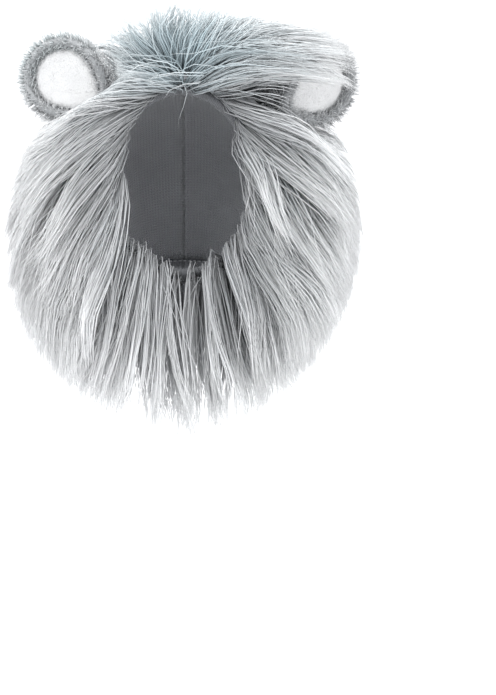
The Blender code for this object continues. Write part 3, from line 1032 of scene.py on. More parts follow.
@dataclass(frozen=True)
class EarViews:
    """Where the ears show from the front between the locks, by x and z.

    The left one shows in an oval, above a line that falls from the parting to its foot. The
    right one's lining shows under a hem of hair and above a line along the hair below it.
    """

    oval: tuple[float, float] = (-0.0640, 0.0035)
    oval_half: tuple[float, float] = (0.0265, 0.0250)
    parting: tuple[float, float] = (-0.029, 0.003)
    parting_slope: float = 0.56
    foot: tuple[float, float] = (0.046, -0.009)
    foot_slope: float = -0.69

    HEM = (
        # x, z
        (0.070, -0.010),
        (0.076, -0.003),
        (0.084, -0.001),
        (0.091, -0.003),
        (0.098, -0.010),
    )

    def above_parting(self, x: Array, z: Array) -> Array:
        """True above the line that falls from the parting to the left ear's foot."""
        return z > self.parting[1] + self.parting_slope * (x - self.parting[0])

    def in_oval(self, x: Array, z: Array) -> Array:
        """True within the oval that the left ear shows in.

        Args:
            x: to the viewer's right.
            z: height.

        Returns:
            One value for each place.
        """
        across = (x - self.oval[0]) / self.oval_half[0]
        up = (z - self.oval[1]) / self.oval_half[1]
        return across**2 + up**2 < 1

    def in_window(self, x: Array, z: Array) -> Array:
        """True where the right ear's lining shows.

        Args:
            x: to the viewer's right.
            z: height.

        Returns:
            One value for each place.
        """
        hem_x, hem_z = np.array(self.HEM).T
        top = np.interp(x, hem_x, hem_z)
        low = self.foot[1] + self.foot_slope * (x - self.foot[0])
        return (x > hem_x[0]) & (x < hem_x[-1]) & (z > low) & (z < top)


VIEWS = EarViews()


# ---------------------------------------------------------------- the mane


@dataclass(frozen=True)
class Outline:
    """How far the pile reaches from the mane's middle, seen from the front."""

    middle: tuple[float, float] = (0.003, -0.070)

    TABLE = (
        # angle from straight up in degrees, to the viewer's right; reach in metres
        (-180, 0.128),
        (-167, 0.124),
        (-155, 0.121),
        (-142, 0.119),
        (-129, 0.115),
        (-116, 0.110),
        (-102, 0.104),
        (-86, 0.100),
        (-70, 0.099),
        (-59, 0.101),
        (-45, 0.108),
        (-23, 0.115),
        (-14, 0.118),
        (-3, 0.121),
        (6, 0.118),
        (15, 0.115),
        (29, 0.120),
        (40, 0.130),
        (48, 0.129),
        (55, 0.121),
        (60, 0.106),
        (66, 0.099),
        (79, 0.096),
        (96, 0.097),
        (109, 0.100),
        (122, 0.104),
        (137, 0.110),
        (150, 0.115),
        (163, 0.121),
        (173, 0.126),
    )

    def over(self, points: Array) -> Array:
        """How far out points lie against the outline there, 1 on it.

        Args:
            points: any array whose last axis is a point.

        Returns:
            Reach as a share of the outline's.
        """
        table = np.asarray(self.TABLE, float)
        x, z = points[..., 0] - self.middle[0], points[..., 2] - self.middle[1]
        reach = np.interp(np.degrees(np.arctan2(x, z)), table[:, 0], table[:, 1], period=360)
        return np.hypot(x, z) / reach


@dataclass
class Pile:
    """Long strands that gather into small tufts and those into locks.

    A strand's point is its own path, drawn towards its tuft's path by w1(t) and with it
    towards its lock's path by w2(t), plus waves that grow towards the tip.
    """

    form: HoodForm
    growth: Growth
    outline: Outline = Outline()
    seed: int = 5
    locks: int = 480
    tufts: int = 3000
    strands: int = 22600
    steps: int = 8
    thick: float = 0.00066
    fringe: float = 0.075
    overhang: float = 0.0110
    proud: float = 0.009
    under: float = 0.0015
    over_rim: float = 0.0105
    behind: float = -0.030
    before: float = -0.008

    # Width along a strand, as a share of its full one
    TAPER = (0.8, 1.0, 1.0, 0.95, 0.85, 0.68, 0.42, 0.0)

    def __post_init__(self) -> None:
        """Starts the seeded random numbers."""
        self.random = np.random.default_rng(self.seed)

    def scatter(self, count: int) -> tuple[Array, Array]:
        """Places on the fur's ground, drawn by area, with more where the hair shows most.

        Args:
            count: how many.

        Returns:
            Part of the way across, and clock angle in radians.
        """
        parts, clocks = 80, 240
        part = (np.arange(parts) + 0.5) / parts
        clock = -math.pi + (np.arange(clocks) + 0.5) / clocks * 2 * math.pi
        grid_part, grid_clock = np.meshgrid(part, clock, indexing="ij")
        fur = self.form.fur
        half, turn = 0.5 / parts, math.pi / clocks
        inwards = fur(grid_part + half, grid_clock) - fur(grid_part - half, grid_clock)
        around = fur(grid_part, grid_clock + turn) - fur(grid_part, grid_clock - turn)
        weight = np.linalg.norm(np.cross(inwards, around), axis=-1)
        front = np.exp(-((grid_part / 0.22) ** 2))
        high = np.cos(grid_clock / 2) ** 2
        edge = np.exp(-((grid_part / 0.045) ** 2))
        sweep = np.exp(-(((np.degrees(grid_clock) - 17) / 13) ** 2)) * front
        weight = weight * (1 + 3.0 * front + 3.5 * edge * (1.6 - high) + 2.2 * (1 - high) + 3.0 * sweep)
        share = np.cumsum(weight.ravel()) / weight.sum()
        cell = np.searchsorted(share, self.random.uniform(0, 1, count))
        row, column = np.unravel_index(np.minimum(cell, weight.size - 1), weight.shape)
        jitter = self.random.uniform(-0.5, 0.5, (2, count))
        return (
            np.clip(part[row] + jitter[0] / parts, 0.002, 0.998),
            clock[column] + jitter[1] / clocks * 2 * math.pi,
        )

    def paths(self, part: Array, clock: Array, bend: Array, reach: Array) -> Array:
        """Centre lines that turn from the root direction to the tip direction.

        Direction is root (1 - t^0.85) + tip t^0.85 plus each one's own bend.

        Args:
            part: way across the ground.
            clock: clock angle in radians.
            bend: (count, 3) a vector added to the direction, more towards the tip.
            reach: length against the table's.

        Returns:
            (count, steps, 3) points.
        """
        start, end, length = self.growth.at(part, np.degrees(clock))
        root = self.form.fur(part, clock, -self.under)
        t = np.linspace(0, 1, self.steps)
        turn = (t**0.85)[None, :, None]
        along = unit(start)[:, None] * (1 - turn) + unit(end)[:, None] * turn
        along = unit(along + bend[:, None] * (0.35 + 0.65 * t)[None, :, None])
        middle = (along[:, 1:] + along[:, :-1]) / 2
        moves = middle * (length * reach / (self.steps - 1))[:, None, None]
        path = np.concatenate([np.zeros((len(root), 1, 3)), np.cumsum(moves, axis=1)], axis=1)
        return root[:, None] + path

    def waves(self, paths: Array, size: Array, turns: Array, phase: Array) -> Array:
        """Paths swung to both sides by size (0.4 + 0.6 t) (sin(2 pi turns t + phase) - sin phase).

        Args:
            paths: (count, steps, 3) points.
            size: the swing in metres.
            turns: waves along each path.
            phase: where each wave starts, in radians.

        Returns:
            The swung paths.
        """
        t = np.linspace(0, 1, self.steps)[None, :]
        along = unit(paths[:, -1] - paths[:, 0])
        side = unit(np.cross(along, np.array([0.0, -1.0, 0.15])))
        over = np.cross(along, side)
        swing = np.sin(2 * math.pi * turns[:, None] * t + phase[:, None]) - np.sin(phase)[:, None]
        ahead = phase * 1.7 + 1.0
        sway = np.sin(2 * math.pi * turns[:, None] * t * 0.8 + ahead[:, None]) - np.sin(ahead)[:, None]
        grown = size[:, None] * (0.4 + 0.6 * t)
        sideways = side[:, None] * (grown * swing)[..., None]
        return paths + sideways + over[:, None] * (grown * sway * 0.7)[..., None]

    def rolled(self, path: Array, part: Array, clock: Array) -> Array:
        """Paths by the face rim rolled in over the tape, by a(part, clock) (t / p) exp(1 - t / p).

        Args:
            path: (count, steps, 3) points.
            part: way across the ground.
            clock: clock angle in radians.

        Returns:
            The paths, the same at their roots.
        """
        t = np.linspace(0, 1, self.steps) / 0.22
        turned = np.abs((np.degrees(clock) + 180) % 360 - 180)
        sides, chin = smooth_step(15, 50, turned), smooth_step(100, 150, turned)
        amount = self.overhang * (0.80 + 0.20 * sides + 0.60 * chin)
        amount = amount * smooth_step(0, 0.7, 1 - part / self.fringe)
        amount = amount * self.random.uniform(0.6, 1.15, len(path))
        inward = np.stack([-np.sin(clock), np.full_like(clock, -0.55), -np.cos(clock)], -1)
        return path + inward[:, None] * (amount[:, None] * (t * np.exp(1 - t))[None, :])[..., None]

    def held_in(self, path: Array, ragged: float) -> Array:
        """Paths drawn towards their roots where they would leave the outline or the room.

        Args:
            path: (count, steps, 3) points.
            ragged: how unevenly the outline holds them, as a share of its reach.

        Returns:
            The paths, each at its own scale about its root.
        """
        low, high = np.asarray(CAD_BOUNDS[0]), np.asarray(CAD_BOUNDS[1])
        spare = 0.03 * (high - low) + self.proud
        root = path[:, :1]
        off = path - root
        limit = np.where(off > 0, high + spare, low - spare) - root
        room = np.where(np.abs(off) > 1e-6, limit / np.where(np.abs(off) > 1e-6, off, 1.0), 9.0)
        share = np.clip(room.min(axis=(1, 2)), 0.2, 1.0)
        allowed = self.random.uniform(1 - 1.6 * ragged, 1 + 0.6 * ragged, len(path))
        for _ in range(5):
            over = self.outline.over(root + off * share[:, None, None]).max(axis=1) / allowed
            share = share * np.where(over > 1, np.clip(1 - 1.4 * (over - 1), 0.6, 1), 1)
        return root + off * share[:, None, None]

    def beside(self, path: Array) -> Array:
        """Paths drawn towards their roots where they would cross the left ear's front.

        Args:
            path: (count, steps, 3) points.

        Returns:
            The paths, each at its own scale about its root.
        """
        root = path[:, :1]
        off = path - root
        share = np.ones(len(path))
        for _ in range(9):
            at = root + off * share[:, None, None]
            x, y, z = np.moveaxis(at, -1, 0)
            crossed = (VIEWS.in_oval(x, z) & VIEWS.above_parting(x, z) & (y < 0.016)).any(axis=1)
            share = np.where(crossed, share * 0.88, share)
        return root + off * share[:, None, None]

    def swept(self, path: Array) -> Array:
        """Paths that cross the right ear laid on its front, where they come from before it.

        A point within the ear's outline moves along the way the ear faces until it is clear
        of the rim, and its neighbours follow by a part of that.

        Args:
            path: (count, steps, 3) points.

        Returns:
            The paths, the same at their roots.
        """
        ear = EARS[1]
        radius, depth = ear.local(path)
        near = 1 - smooth_step(1.0, 1.35, radius)
        lift = np.clip(self.over_rim - depth, 0, None) * near * (depth > self.behind)
        lift = lift * (path[:, :1, 1] < self.before)
        after = np.concatenate([lift[:, 1:], lift[:, -1:]], axis=1)
        before = np.concatenate([np.zeros_like(lift[:, :1]), lift[:, :-1]], axis=1)
        lift = np.maximum(lift, 0.55 * np.maximum(after, before))
        lift[:, 0] = 0.0
        return path + lift[..., None] * ear.axes()[2]

    def grow(self) -> dict[str, Array]:
        """All strands: paths, radii, a direction across, their places and their tones.

        Returns:
            Arrays by name, one row for each strand.
        """
        rnd = self.random
        lock_part, lock_clock = self.scatter(self.locks)
        lock_bend = rnd.normal(0, 0.13, (self.locks, 3))
        lock_path = self.paths(lock_part, lock_clock, lock_bend, rnd.uniform(0.90, 1.10, self.locks))
        lock_phase = 3.0 * lock_clock + 9.0 * lock_part + rnd.uniform(0, 2.2, self.locks)
        turns = rnd.uniform(0.85, 1.55, self.locks)
        lock_path = self.waves(lock_path, rnd.uniform(0.0040, 0.0095, self.locks), turns, lock_phase)
        lock_path = self.held_in(lock_path, 0.03)
        lock_tone = rnd.uniform(0, 1, self.locks)

        tuft_part, tuft_clock = self.scatter(self.tufts)
        tuft_root = self.form.fur(tuft_part, tuft_clock)
        apart = np.linalg.norm(tuft_root[:, None] - lock_path[None, :, 0], axis=-1)
        owner = np.argmin(apart, axis=1)
        tuft_bend = lock_bend[owner] + rnd.normal(0, 0.07, (self.tufts, 3))
        tuft_path = self.paths(tuft_part, tuft_clock, tuft_bend, rnd.uniform(0.86, 1.08, self.tufts))
        tuft_phase = lock_phase[owner] + rnd.uniform(-0.9, 0.9, self.tufts)
        size = rnd.uniform(0.0008, 0.0030, self.tufts)
        tuft_path = self.waves(tuft_path, size, turns[owner] * rnd.uniform(0.8, 1.3, self.tufts), tuft_phase)
        t = np.linspace(0, 1, self.steps)
        pull = smooth_step(0.1, 1.0, t)[None, :, None] * rnd.uniform(0.55, 1.00, self.tufts)[:, None, None]
        tuft_path = self.held_in(tuft_path + (lock_path[owner] - tuft_path) * pull, 0.03)

        of = np.sort(rnd.integers(0, self.tufts, self.strands))
        loose = rnd.uniform(0, 1, self.strands) < 0.06
        scale = 0.0016
        wide = self.form.hood[0] / 2
        part = np.clip(tuft_part[of] + rnd.normal(0, scale / 0.11, self.strands), 0.001, 0.999)
        clock = tuft_clock[of] + rnd.normal(0, scale / wide, self.strands)
        bend = tuft_bend[of] + rnd.normal(0, 1, (self.strands, 3)) * np.where(loose, 0.22, 0.05)[:, None]
        reach = np.where(loose, rnd.uniform(0.7, 1.15, self.strands), rnd.beta(6, 1.2, self.strands) * 1.06)
        own = self.paths(part, clock, bend, reach)
        phase = tuft_phase[of] + rnd.uniform(-1, 1, self.strands)
        own = self.waves(own, np.where(loose, 0.0030, 0.0008), rnd.uniform(0.7, 1.8, self.strands), phase)
        gather = smooth_step(0.0, 0.8, t)[None, :, None]
        gather = gather * np.where(loose, 0.15, rnd.uniform(0.55, 0.95, self.strands))[:, None, None]
        # A short strand meets its tuft where it has come to, and not at the tuft's tip
        at = np.minimum(reach, 1)[:, None] * t[None, :] * (self.steps - 1)
        low = np.minimum(at.astype(int), self.steps - 2)
        left = (at - low)[..., None]
        guide = tuft_path[of[:, None], low] * (1 - left) + tuft_path[of[:, None], low + 1] * left
        path = self.held_in(own + (guide - own) * gather, 0.04)
        path = self.swept(self.beside(self.held_in(self.rolled(path, part, clock), 0.02)))
        radius = np.array(self.TAPER) * (self.thick / 2 * rnd.uniform(0.7, 1.25, self.strands))[:, None]
        radius = radius * np.where(loose, 0.7, 1.0)[:, None]
        lean = np.cross(unit(path[:, -1] - path[:, 0]), unit(rnd.normal(size=(self.strands, 3))))
        tuft_tone = rnd.uniform(0, 1, self.tufts)
        tone = 0.45 * lock_tone[owner[of]] + 0.25 * tuft_tone[of] + 0.3 * rnd.uniform(0, 1, self.strands)
        return {"path": path, "radius": radius, "lean": lean, "part": part, "clock": clock, "tone": tone}


@dataclass
class Mane:
    """The long pile in five panels, and the fur's ground under it."""

    pile: Pile
    form: HoodForm
    finish: StrandFinish
    ground_finish: PlushFinish
    most: int = 4950

    def regions(self, part: Array, clock: Array) -> Array:
        """The panel of each strand, by its root.

        Args:
            part: part of the way across the ground.
            clock: clock angle in radians.

        Returns:
            The panels' names.
        """
        turn = np.degrees(clock)
        turn = (turn + 180) % 360 - 180
        panel = np.where(turn < 0, Region.LEFT.value, Region.RIGHT.value)
        panel = np.where(np.abs(turn) > 122, Region.BIB.value, panel)
        panel = np.where((np.abs(turn) < 38) & (part < 0.42), Region.CROWN.value, panel)
        return np.where((part > 0.42) & (np.abs(turn) < 122), Region.NAPE.value, panel)

    def clear_of_ears(self, path: Array) -> Array:
        """True for strands that go through no ear and leave its hollow to be seen.

        Args:
            path: (count, steps, 3) points.

        Returns:
            One value for each strand.
        """
        keep = np.ones(len(path), bool)
        x, z = path[..., 0], path[..., 2]
        for ear in EARS:
            radius, depth = ear.local(path)
            over = (radius < 1.05) & (depth > -ear.depth * 1.05)
            through = over & (depth < 0.0062)
            if ear.side is Side.LEFT:
                hidden = (radius < 1.0) & (depth > 0) & (depth < 0.090) & VIEWS.above_parting(x, z)
            else:
                hidden = VIEWS.in_window(x, z) & (path[..., 1] < 0.020)
            keep &= ~(through | hidden)[:, 1:].any(axis=1)
        return keep

    def blueness(self, clock: Array, path: Array) -> Array:
        """How blue a strand is: most over the middle of the crown, none at the sides.

        Args:
            clock: clock angle in radians.
            path: (count, steps, 3) points.

        Returns:
            Numbers from 0 to 1.
        """
        x, z = path[:, 2, 0], path[:, 2, 2]
        middle = np.exp(-((x + 0.004) / 0.030) ** 2) * smooth_step(-0.020, 0.012, z)
        return np.clip(middle + self.pile.random.normal(0, 0.10, len(clock)), 0, 0.999)

    def ground(self) -> bpy.types.Object:
        """The fur's ground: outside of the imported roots, edges and inside, one closed skin.

        Returns:
            The object.
        """
        clock = np.linspace(0, 2 * math.pi, 72, endpoint=False)
        part = np.linspace(0, 1, 33)[:, None]
        share = self.form.between(self.form.tape_leg + 2 * self.form.gap, part, clock)
        inner = self.form.at(share, clock, self.form.cloth + self.form.gap)[0]
        outer = self.form.fur(part, clock)
        rings = np.concatenate([inner[::-1], outer])
        build = Build()
        flat = rings.reshape(-1, 3)
        build.add(flat, ring_quads(len(rings), 72, wrap=True), NO_TRIS, flat[:, [0, 2]])
        return build.make("mane_ground", CLOTH_UV, self.ground_finish.material())

    def make(self) -> list[bpy.types.Object]:
        """Builds the mane's pieces.

        Returns:
            The ground and the five panels of strands.
        """
        made = [self.ground()]
        hair = self.pile.grow()
        keep = self.clear_of_ears(hair["path"])
        hair = {name: values[keep] for name, values in hair.items()}
        LOG.info("strands kept: %d of %d", keep.sum(), len(keep))
        blue = self.blueness(hair["clock"], hair["path"])
        levels = self.finish.LEVELS
        level = np.floor(blue * levels)
        uv_x = (level + 0.06 + 0.88 * np.clip(hair["tone"], 0, 1)) / levels
        panel = self.regions(hair["part"], hair["clock"])
        material = self.finish.material()
        for region in Region:
            chosen = np.flatnonzero(panel == region.value)
            if len(chosen) > self.most:
                chosen = np.sort(self.pile.random.choice(chosen, self.most, replace=False))
            build = Build()
            path, radius, lean = (hair[key][chosen] for key in ("path", "radius", "lean"))
            tubes(build, path, radius, lean, uv_x[chosen], UV_HALF)
            LOG.info("%s panel: %d strands", region.value, len(chosen))
            made.append(build.make(f"{region.value}_hair", STRAND_UV, material))
        for piece in made:
            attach(piece, "root")
            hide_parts("mane_fur")
        return made


# ---------------------------------------------------------------- hood and tapes


@dataclass
class Hood:
    """The knitted hood with a raised seam along its middle, and its two bound edges."""

    form: HoodForm
    knit: KnitFinish
    tape: TapeFinish
    thread: ThreadFinish
    around: int = 96
    along: int = 50
    seam_width: float = 0.0016
    seam_height: float = 0.0009

    def cloth(self) -> bpy.types.Object:
        """The hood's one wall. The seam is a bell on the inside: h exp(-(x / w)^2).

        Returns:
            The object.
        """
        form = self.form
        clock = np.linspace(0, 2 * math.pi, self.around, endpoint=False)
        near = np.sign(np.sin(clock / 2) - 0.5)
        clock = clock - 0.5 * np.sin(clock) * (near < 0)
        share = np.linspace(0, 1, self.along)[:, None]
        middle = form.at(share, clock, 0.0)[0]
        ridge = self.seam_height * np.exp(-((middle[..., 0] / self.seam_width) ** 2)) * (np.cos(clock) > 0)
        inside = form.at(share, clock, -ridge)[0]
        outside = form.at(share, clock, form.cloth)[0]
        rings = np.concatenate([inside[::-1], outside])
        run = np.concatenate([-share[::-1], share]) * 0.15
        uv = np.stack(np.broadcast_arrays(clock * form.hood[0] / 2, run), -1).reshape(-1, 2)
        build = Build()
        quads = ring_quads(len(rings), self.around, wrap=True)
        build.add(rings.reshape(-1, 3), quads, NO_TRIS, uv)
        return build.make("knit_hood", CLOTH_UV, self.knit.material())

    def binding(self, name: str, at_neck: bool) -> bpy.types.Object:
        """A tape folded round a rim: a rounded channel with slight puckers.

        Args:
            name: the object's name.
            at_neck: whether it is the neck's.

        Returns:
            The object.
        """
        form = self.form
        count = 160
        clock = np.linspace(0, 2 * math.pi, count, endpoint=False)
        rim = 1.0 if at_neck else 0.0
        edge, normal = form.at(np.full(count, rim), clock)
        step = form.at(form.rim_share(0.001, clock, at_neck), clock)[0]
        beyond = unit(edge - step)
        inner, outer = -form.gap, form.cloth + form.gap
        half = (outer - inner) / 2
        centre = (outer + inner) / 2
        pucker = 0.00012 * np.sin(clock * 61) + 0.00008 * np.sin(clock * 97 + 1.0)

        def leg(part: float, lift: float) -> Array:
            """A ring along the rim, a part of the tape's leg in from it, at this lift.

            Args:
                part: share of the leg's length.
                lift: height over the inside of the cloth.

            Returns:
                The ring's points.
            """
            share = np.full(count, rim)
            if part > 0:
                share = form.rim_share(form.tape_leg * part, clock, at_neck)
            return form.at(share, clock, lift)[0] + normal * (pucker * np.sign(lift - centre))[:, None]

        def bend(angle: float, radius: float) -> Array:
            """A ring on the tape's fold, at an angle from straight out and a radius."""
            turned = beyond * math.cos(angle) + normal * math.sin(angle)
            return edge + normal * centre + turned * (radius + pucker[:, None] * 0.5)

        wide = half + form.tape
        rings = [leg(p, outer + form.tape) for p in (0.97, 0.66, 0.33)]
        rings += [bend(a, wide) for a in np.linspace(math.pi / 2, -math.pi / 2, 9)]
        rings += [leg(p, inner - form.tape) for p in (0.33, 0.66, 0.97)]
        rings += [leg(p, inner - form.tape * 0.1) for p in (1.0, 0.5)]
        rings += [bend(a, half) for a in np.linspace(-math.pi / 2, math.pi / 2, 5)]
        rings += [leg(p, outer + form.tape * 0.1) for p in (0.5, 1.0)]
        rings = np.stack(rings)
        across = np.concatenate([[0], np.cumsum(np.linalg.norm(np.diff(rings[:, 0], axis=0), axis=-1))])
        uv = np.stack(np.broadcast_arrays(clock * 0.043, across[:, None]), -1).reshape(-1, 2)
        build = Build()
        quads = ring_quads(len(rings), count, wrap=True)
        if at_neck:
            quads = quads[:, ::-1]
        build.add(rings.reshape(-1, 3), quads, NO_TRIS, uv)
        return build.make(name, CLOTH_UV, self.tape.material())

    def stitches(self, name: str, at_neck: bool) -> bpy.types.Object:
        """A row of short threads that holds a tape, each a small pointed pillow.

        Args:
            name: the object's name.
            at_neck: whether they are the neck's.

        Returns:
            The object.
        """
        form = self.form
        count = 96
        clock = np.linspace(0, 2 * math.pi, count, endpoint=False)
        share = form.rim_share(form.tape_leg * 0.62, clock, at_neck)
        length = 0.0022
        rows = []
        for lift, side in ((form.cloth + form.gap + form.tape, 1.0), (-form.gap - form.tape, -1.0)):
            point, normal = form.at(share, clock, lift)
            ahead = unit(form.at(share, clock + 0.01, lift)[0] - point)
            t = np.linspace(-0.5, 0.5, 5)
            rise = 0.00035 * np.cos(math.pi * t) * side
            path = point[:, None] + ahead[:, None] * (length * t)[None, :, None]
            rows.append((path + normal[:, None] * rise[None, :, None], normal))
        build = Build()
        radius = np.array([0.5, 1.0, 1.1, 1.0, 0.0]) * 0.00030
        for path, normal in rows:
            tubes(build, path, np.broadcast_to(radius, path.shape[:2]), normal, np.full(count, 0.5), 0.2)
        return build.make(name, CLOTH_UV, self.thread.material())

    def make(self) -> list[bpy.types.Object]:
        """Builds the hood, its tapes and their stitches."""
        made = []
        cloth = self.cloth()
        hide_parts("hood_backing")
        made.append(cloth)
        for name, at_neck in (("face_binding", False), ("neck_binding", True)):
            tape = self.binding(f"{name}_tape", at_neck)
            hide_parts(name)
            thread = self.stitches(f"{name}_stitches", at_neck)
            made += [tape, thread]
        for piece in made:
            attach(piece, "root")
        return made


# ---------------------------------------------------------------- ears


@dataclass
class Ear:
    """A plush ear: padded cup with a fuzzy rim, and a smooth white lining in its hollow."""

    form: EarForm
    shell_finish: PlushFinish
    lining_finish: PlushFinish
    pile_finish: StrandFinish
    lining_pile_finish: StrandFinish
    seed: int = 3
    pile_count: int = 3000
    lining_count: int = 1500
    pile_length: float = 0.0070
    lining_length: float = 0.0016

    def __post_init__(self) -> None:
        """Starts the seeded random numbers."""
        self.random = np.random.default_rng(self.seed)

    def turned(
        self, name: str, rows: Sequence[tuple[float, float]], finish: PlushFinish
    ) -> bpy.types.Object:
        """A closed body turned from a section whose ends are poles.

        Args:
            name: the object's name.
            rows: its section.
            finish: its finish.

        Returns:
            The object.
        """
        sides, steps = 64, 33
        angle = np.linspace(0, 2 * math.pi, sides, endpoint=False)
        part = np.linspace(0, 1, steps)[1:-1, None]
        radius, depth = self.form.profile(rows, np.broadcast_to(part, (steps - 2, sides)))
        rings = self.form.at(radius, np.broadcast_to(angle, radius.shape), depth)
        first = self.form.at(np.zeros(1), np.zeros(1), np.array([rows[0][1] * self.form.depth]))
        last = self.form.at(np.zeros(1), np.zeros(1), np.array([rows[-1][1] * self.form.depth]))
        points = np.concatenate([rings.reshape(-1, 3), first, last])
        count = sides * (steps - 2)
        side = np.arange(sides)
        after = (side + 1) % sides
        caps = np.concatenate(
            [
                np.stack([np.full(sides, count), after, side], -1),
                np.stack([np.full(sides, count + 1), count - sides + side, count - sides + after], -1),
            ]
        )
        build = Build()
        build.add(points, ring_quads(steps - 2, sides, wrap=False), caps, points[:, [0, 2]])
        return build.make(name, CLOTH_UV, finish.material())

    def skin(self, rows: Sequence[tuple[float, float]], part: Array, angle: Array) -> tuple[Array, Array]:
        """Points on a turned body and its outward normals.

        Args:
            rows: the body's section.
            part: 0 to 1 along it.
            angle: angle in radians.

        Returns:
            Points and normals.
        """
        def point(p: Array, a: Array) -> Array:
            """The point at a part of the section and an angle."""
            radius, depth = self.form.profile(rows, p)
            return self.form.at(radius, a, depth)

        step = 1e-3
        here = point(part, angle)
        along = point(np.clip(part + step, 0, 1), angle) - point(np.clip(part - step, 0, 1), angle)
        around = point(part, angle + step) - point(part, angle - step)
        return here, unit(np.cross(around, along))

    def pile(
        self,
        name: str,
        rows: Sequence[tuple[float, float]],
        span: tuple[float, float],
        count: int,
        length: float,
        finish: StrandFinish,
        lean: float,
        thick: float,
    ) -> bpy.types.Object:
        """Short strands that stand off a turned body and lean towards its tip.

        Args:
            name: the object's name.
            rows: the body's section.
            span: the parts of the section that carry pile.
            count: how many strands.
            length: their usual length.
            finish: their finish.
            lean: how far they lean against how far they stand.
            thick: width at the root.

        Returns:
            The object.
        """
        rnd = self.random
        part = rnd.uniform(*span, count * 3)
        angle = rnd.uniform(0, 2 * math.pi, count * 3)
        radius, _ = self.form.profile(rows, part)
        keep = np.flatnonzero(rnd.uniform(0, 1, count * 3) < radius)[:count]
        part, angle = part[keep], angle[keep]
        count = len(keep)
        here, normal = self.skin(rows, part, angle)
        _, points, _ = self.form.axes()
        steps = 4
        t = np.linspace(0, 1, steps)[None, :, None]
        down = np.array([0.0, 0.0, -1.0])
        drift = unit(points + 0.4 * down + rnd.normal(0, 0.5, (count, 3)))
        way = unit(normal[:, None] + (drift * lean)[:, None] * (0.4 + 0.9 * t))
        long = length * rnd.uniform(0.6, 1.15, count) * (1 - 0.35 * smooth_step(0.5, 0.62, part))
        path = here[:, None] - normal[:, None] * 0.0004 + way * (long[:, None] * t[..., 0])[..., None]
        radii = np.array([1.0, 0.9, 0.6, 0.0])[None, :] * (thick / 2 * rnd.uniform(0.7, 1.2, count))[:, None]
        across = np.cross(normal, unit(rnd.normal(size=(count, 3))))
        tone = rnd.uniform(0, 1, count)
        blue = np.clip(smooth_step(0.2, 1.0, (here @ np.array([-0.6, 0.0, 0.8]) - 0.02) / 0.05), 0, 0.9)
        level = np.floor(blue * finish.LEVELS * (0.6 if self.form.side is Side.LEFT else 0.2))
        uv_x = (level + 0.06 + 0.88 * tone) / finish.LEVELS
        build = Build()
        tubes(build, path, radii, across, uv_x, UV_HALF)
        return build.make(name, STRAND_UV, finish.material())

    def make(self) -> list[bpy.types.Object]:
        """Builds the ear's four pieces."""
        side = self.form.side.value
        shell = self.turned(f"{side}_ear_cup", self.form.SECTION, self.shell_finish)
        lining = self.turned(f"{side}_ear_plush", self.form.LINING, self.lining_finish)
        fuzz = self.pile(
            f"{side}_ear_pile", self.form.SECTION, (0.03, 0.78), self.pile_count, self.pile_length,
            self.pile_finish, 0.55, 0.00050,
        )
        soft = self.pile(
            f"{side}_ear_lining_pile", self.form.LINING, (0.52, 0.99), self.lining_count, self.lining_length,
            self.lining_pile_finish, 0.9, 0.00055,
        )
        for piece, node in ((shell, "shell"), (fuzz, "shell"), (lining, "lining"), (soft, "lining")):
            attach(piece, "root")
            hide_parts(f"{side}_ear_{node}")
        return [shell, lining, fuzz, soft]


# ---------------------------------------------------------------- studio


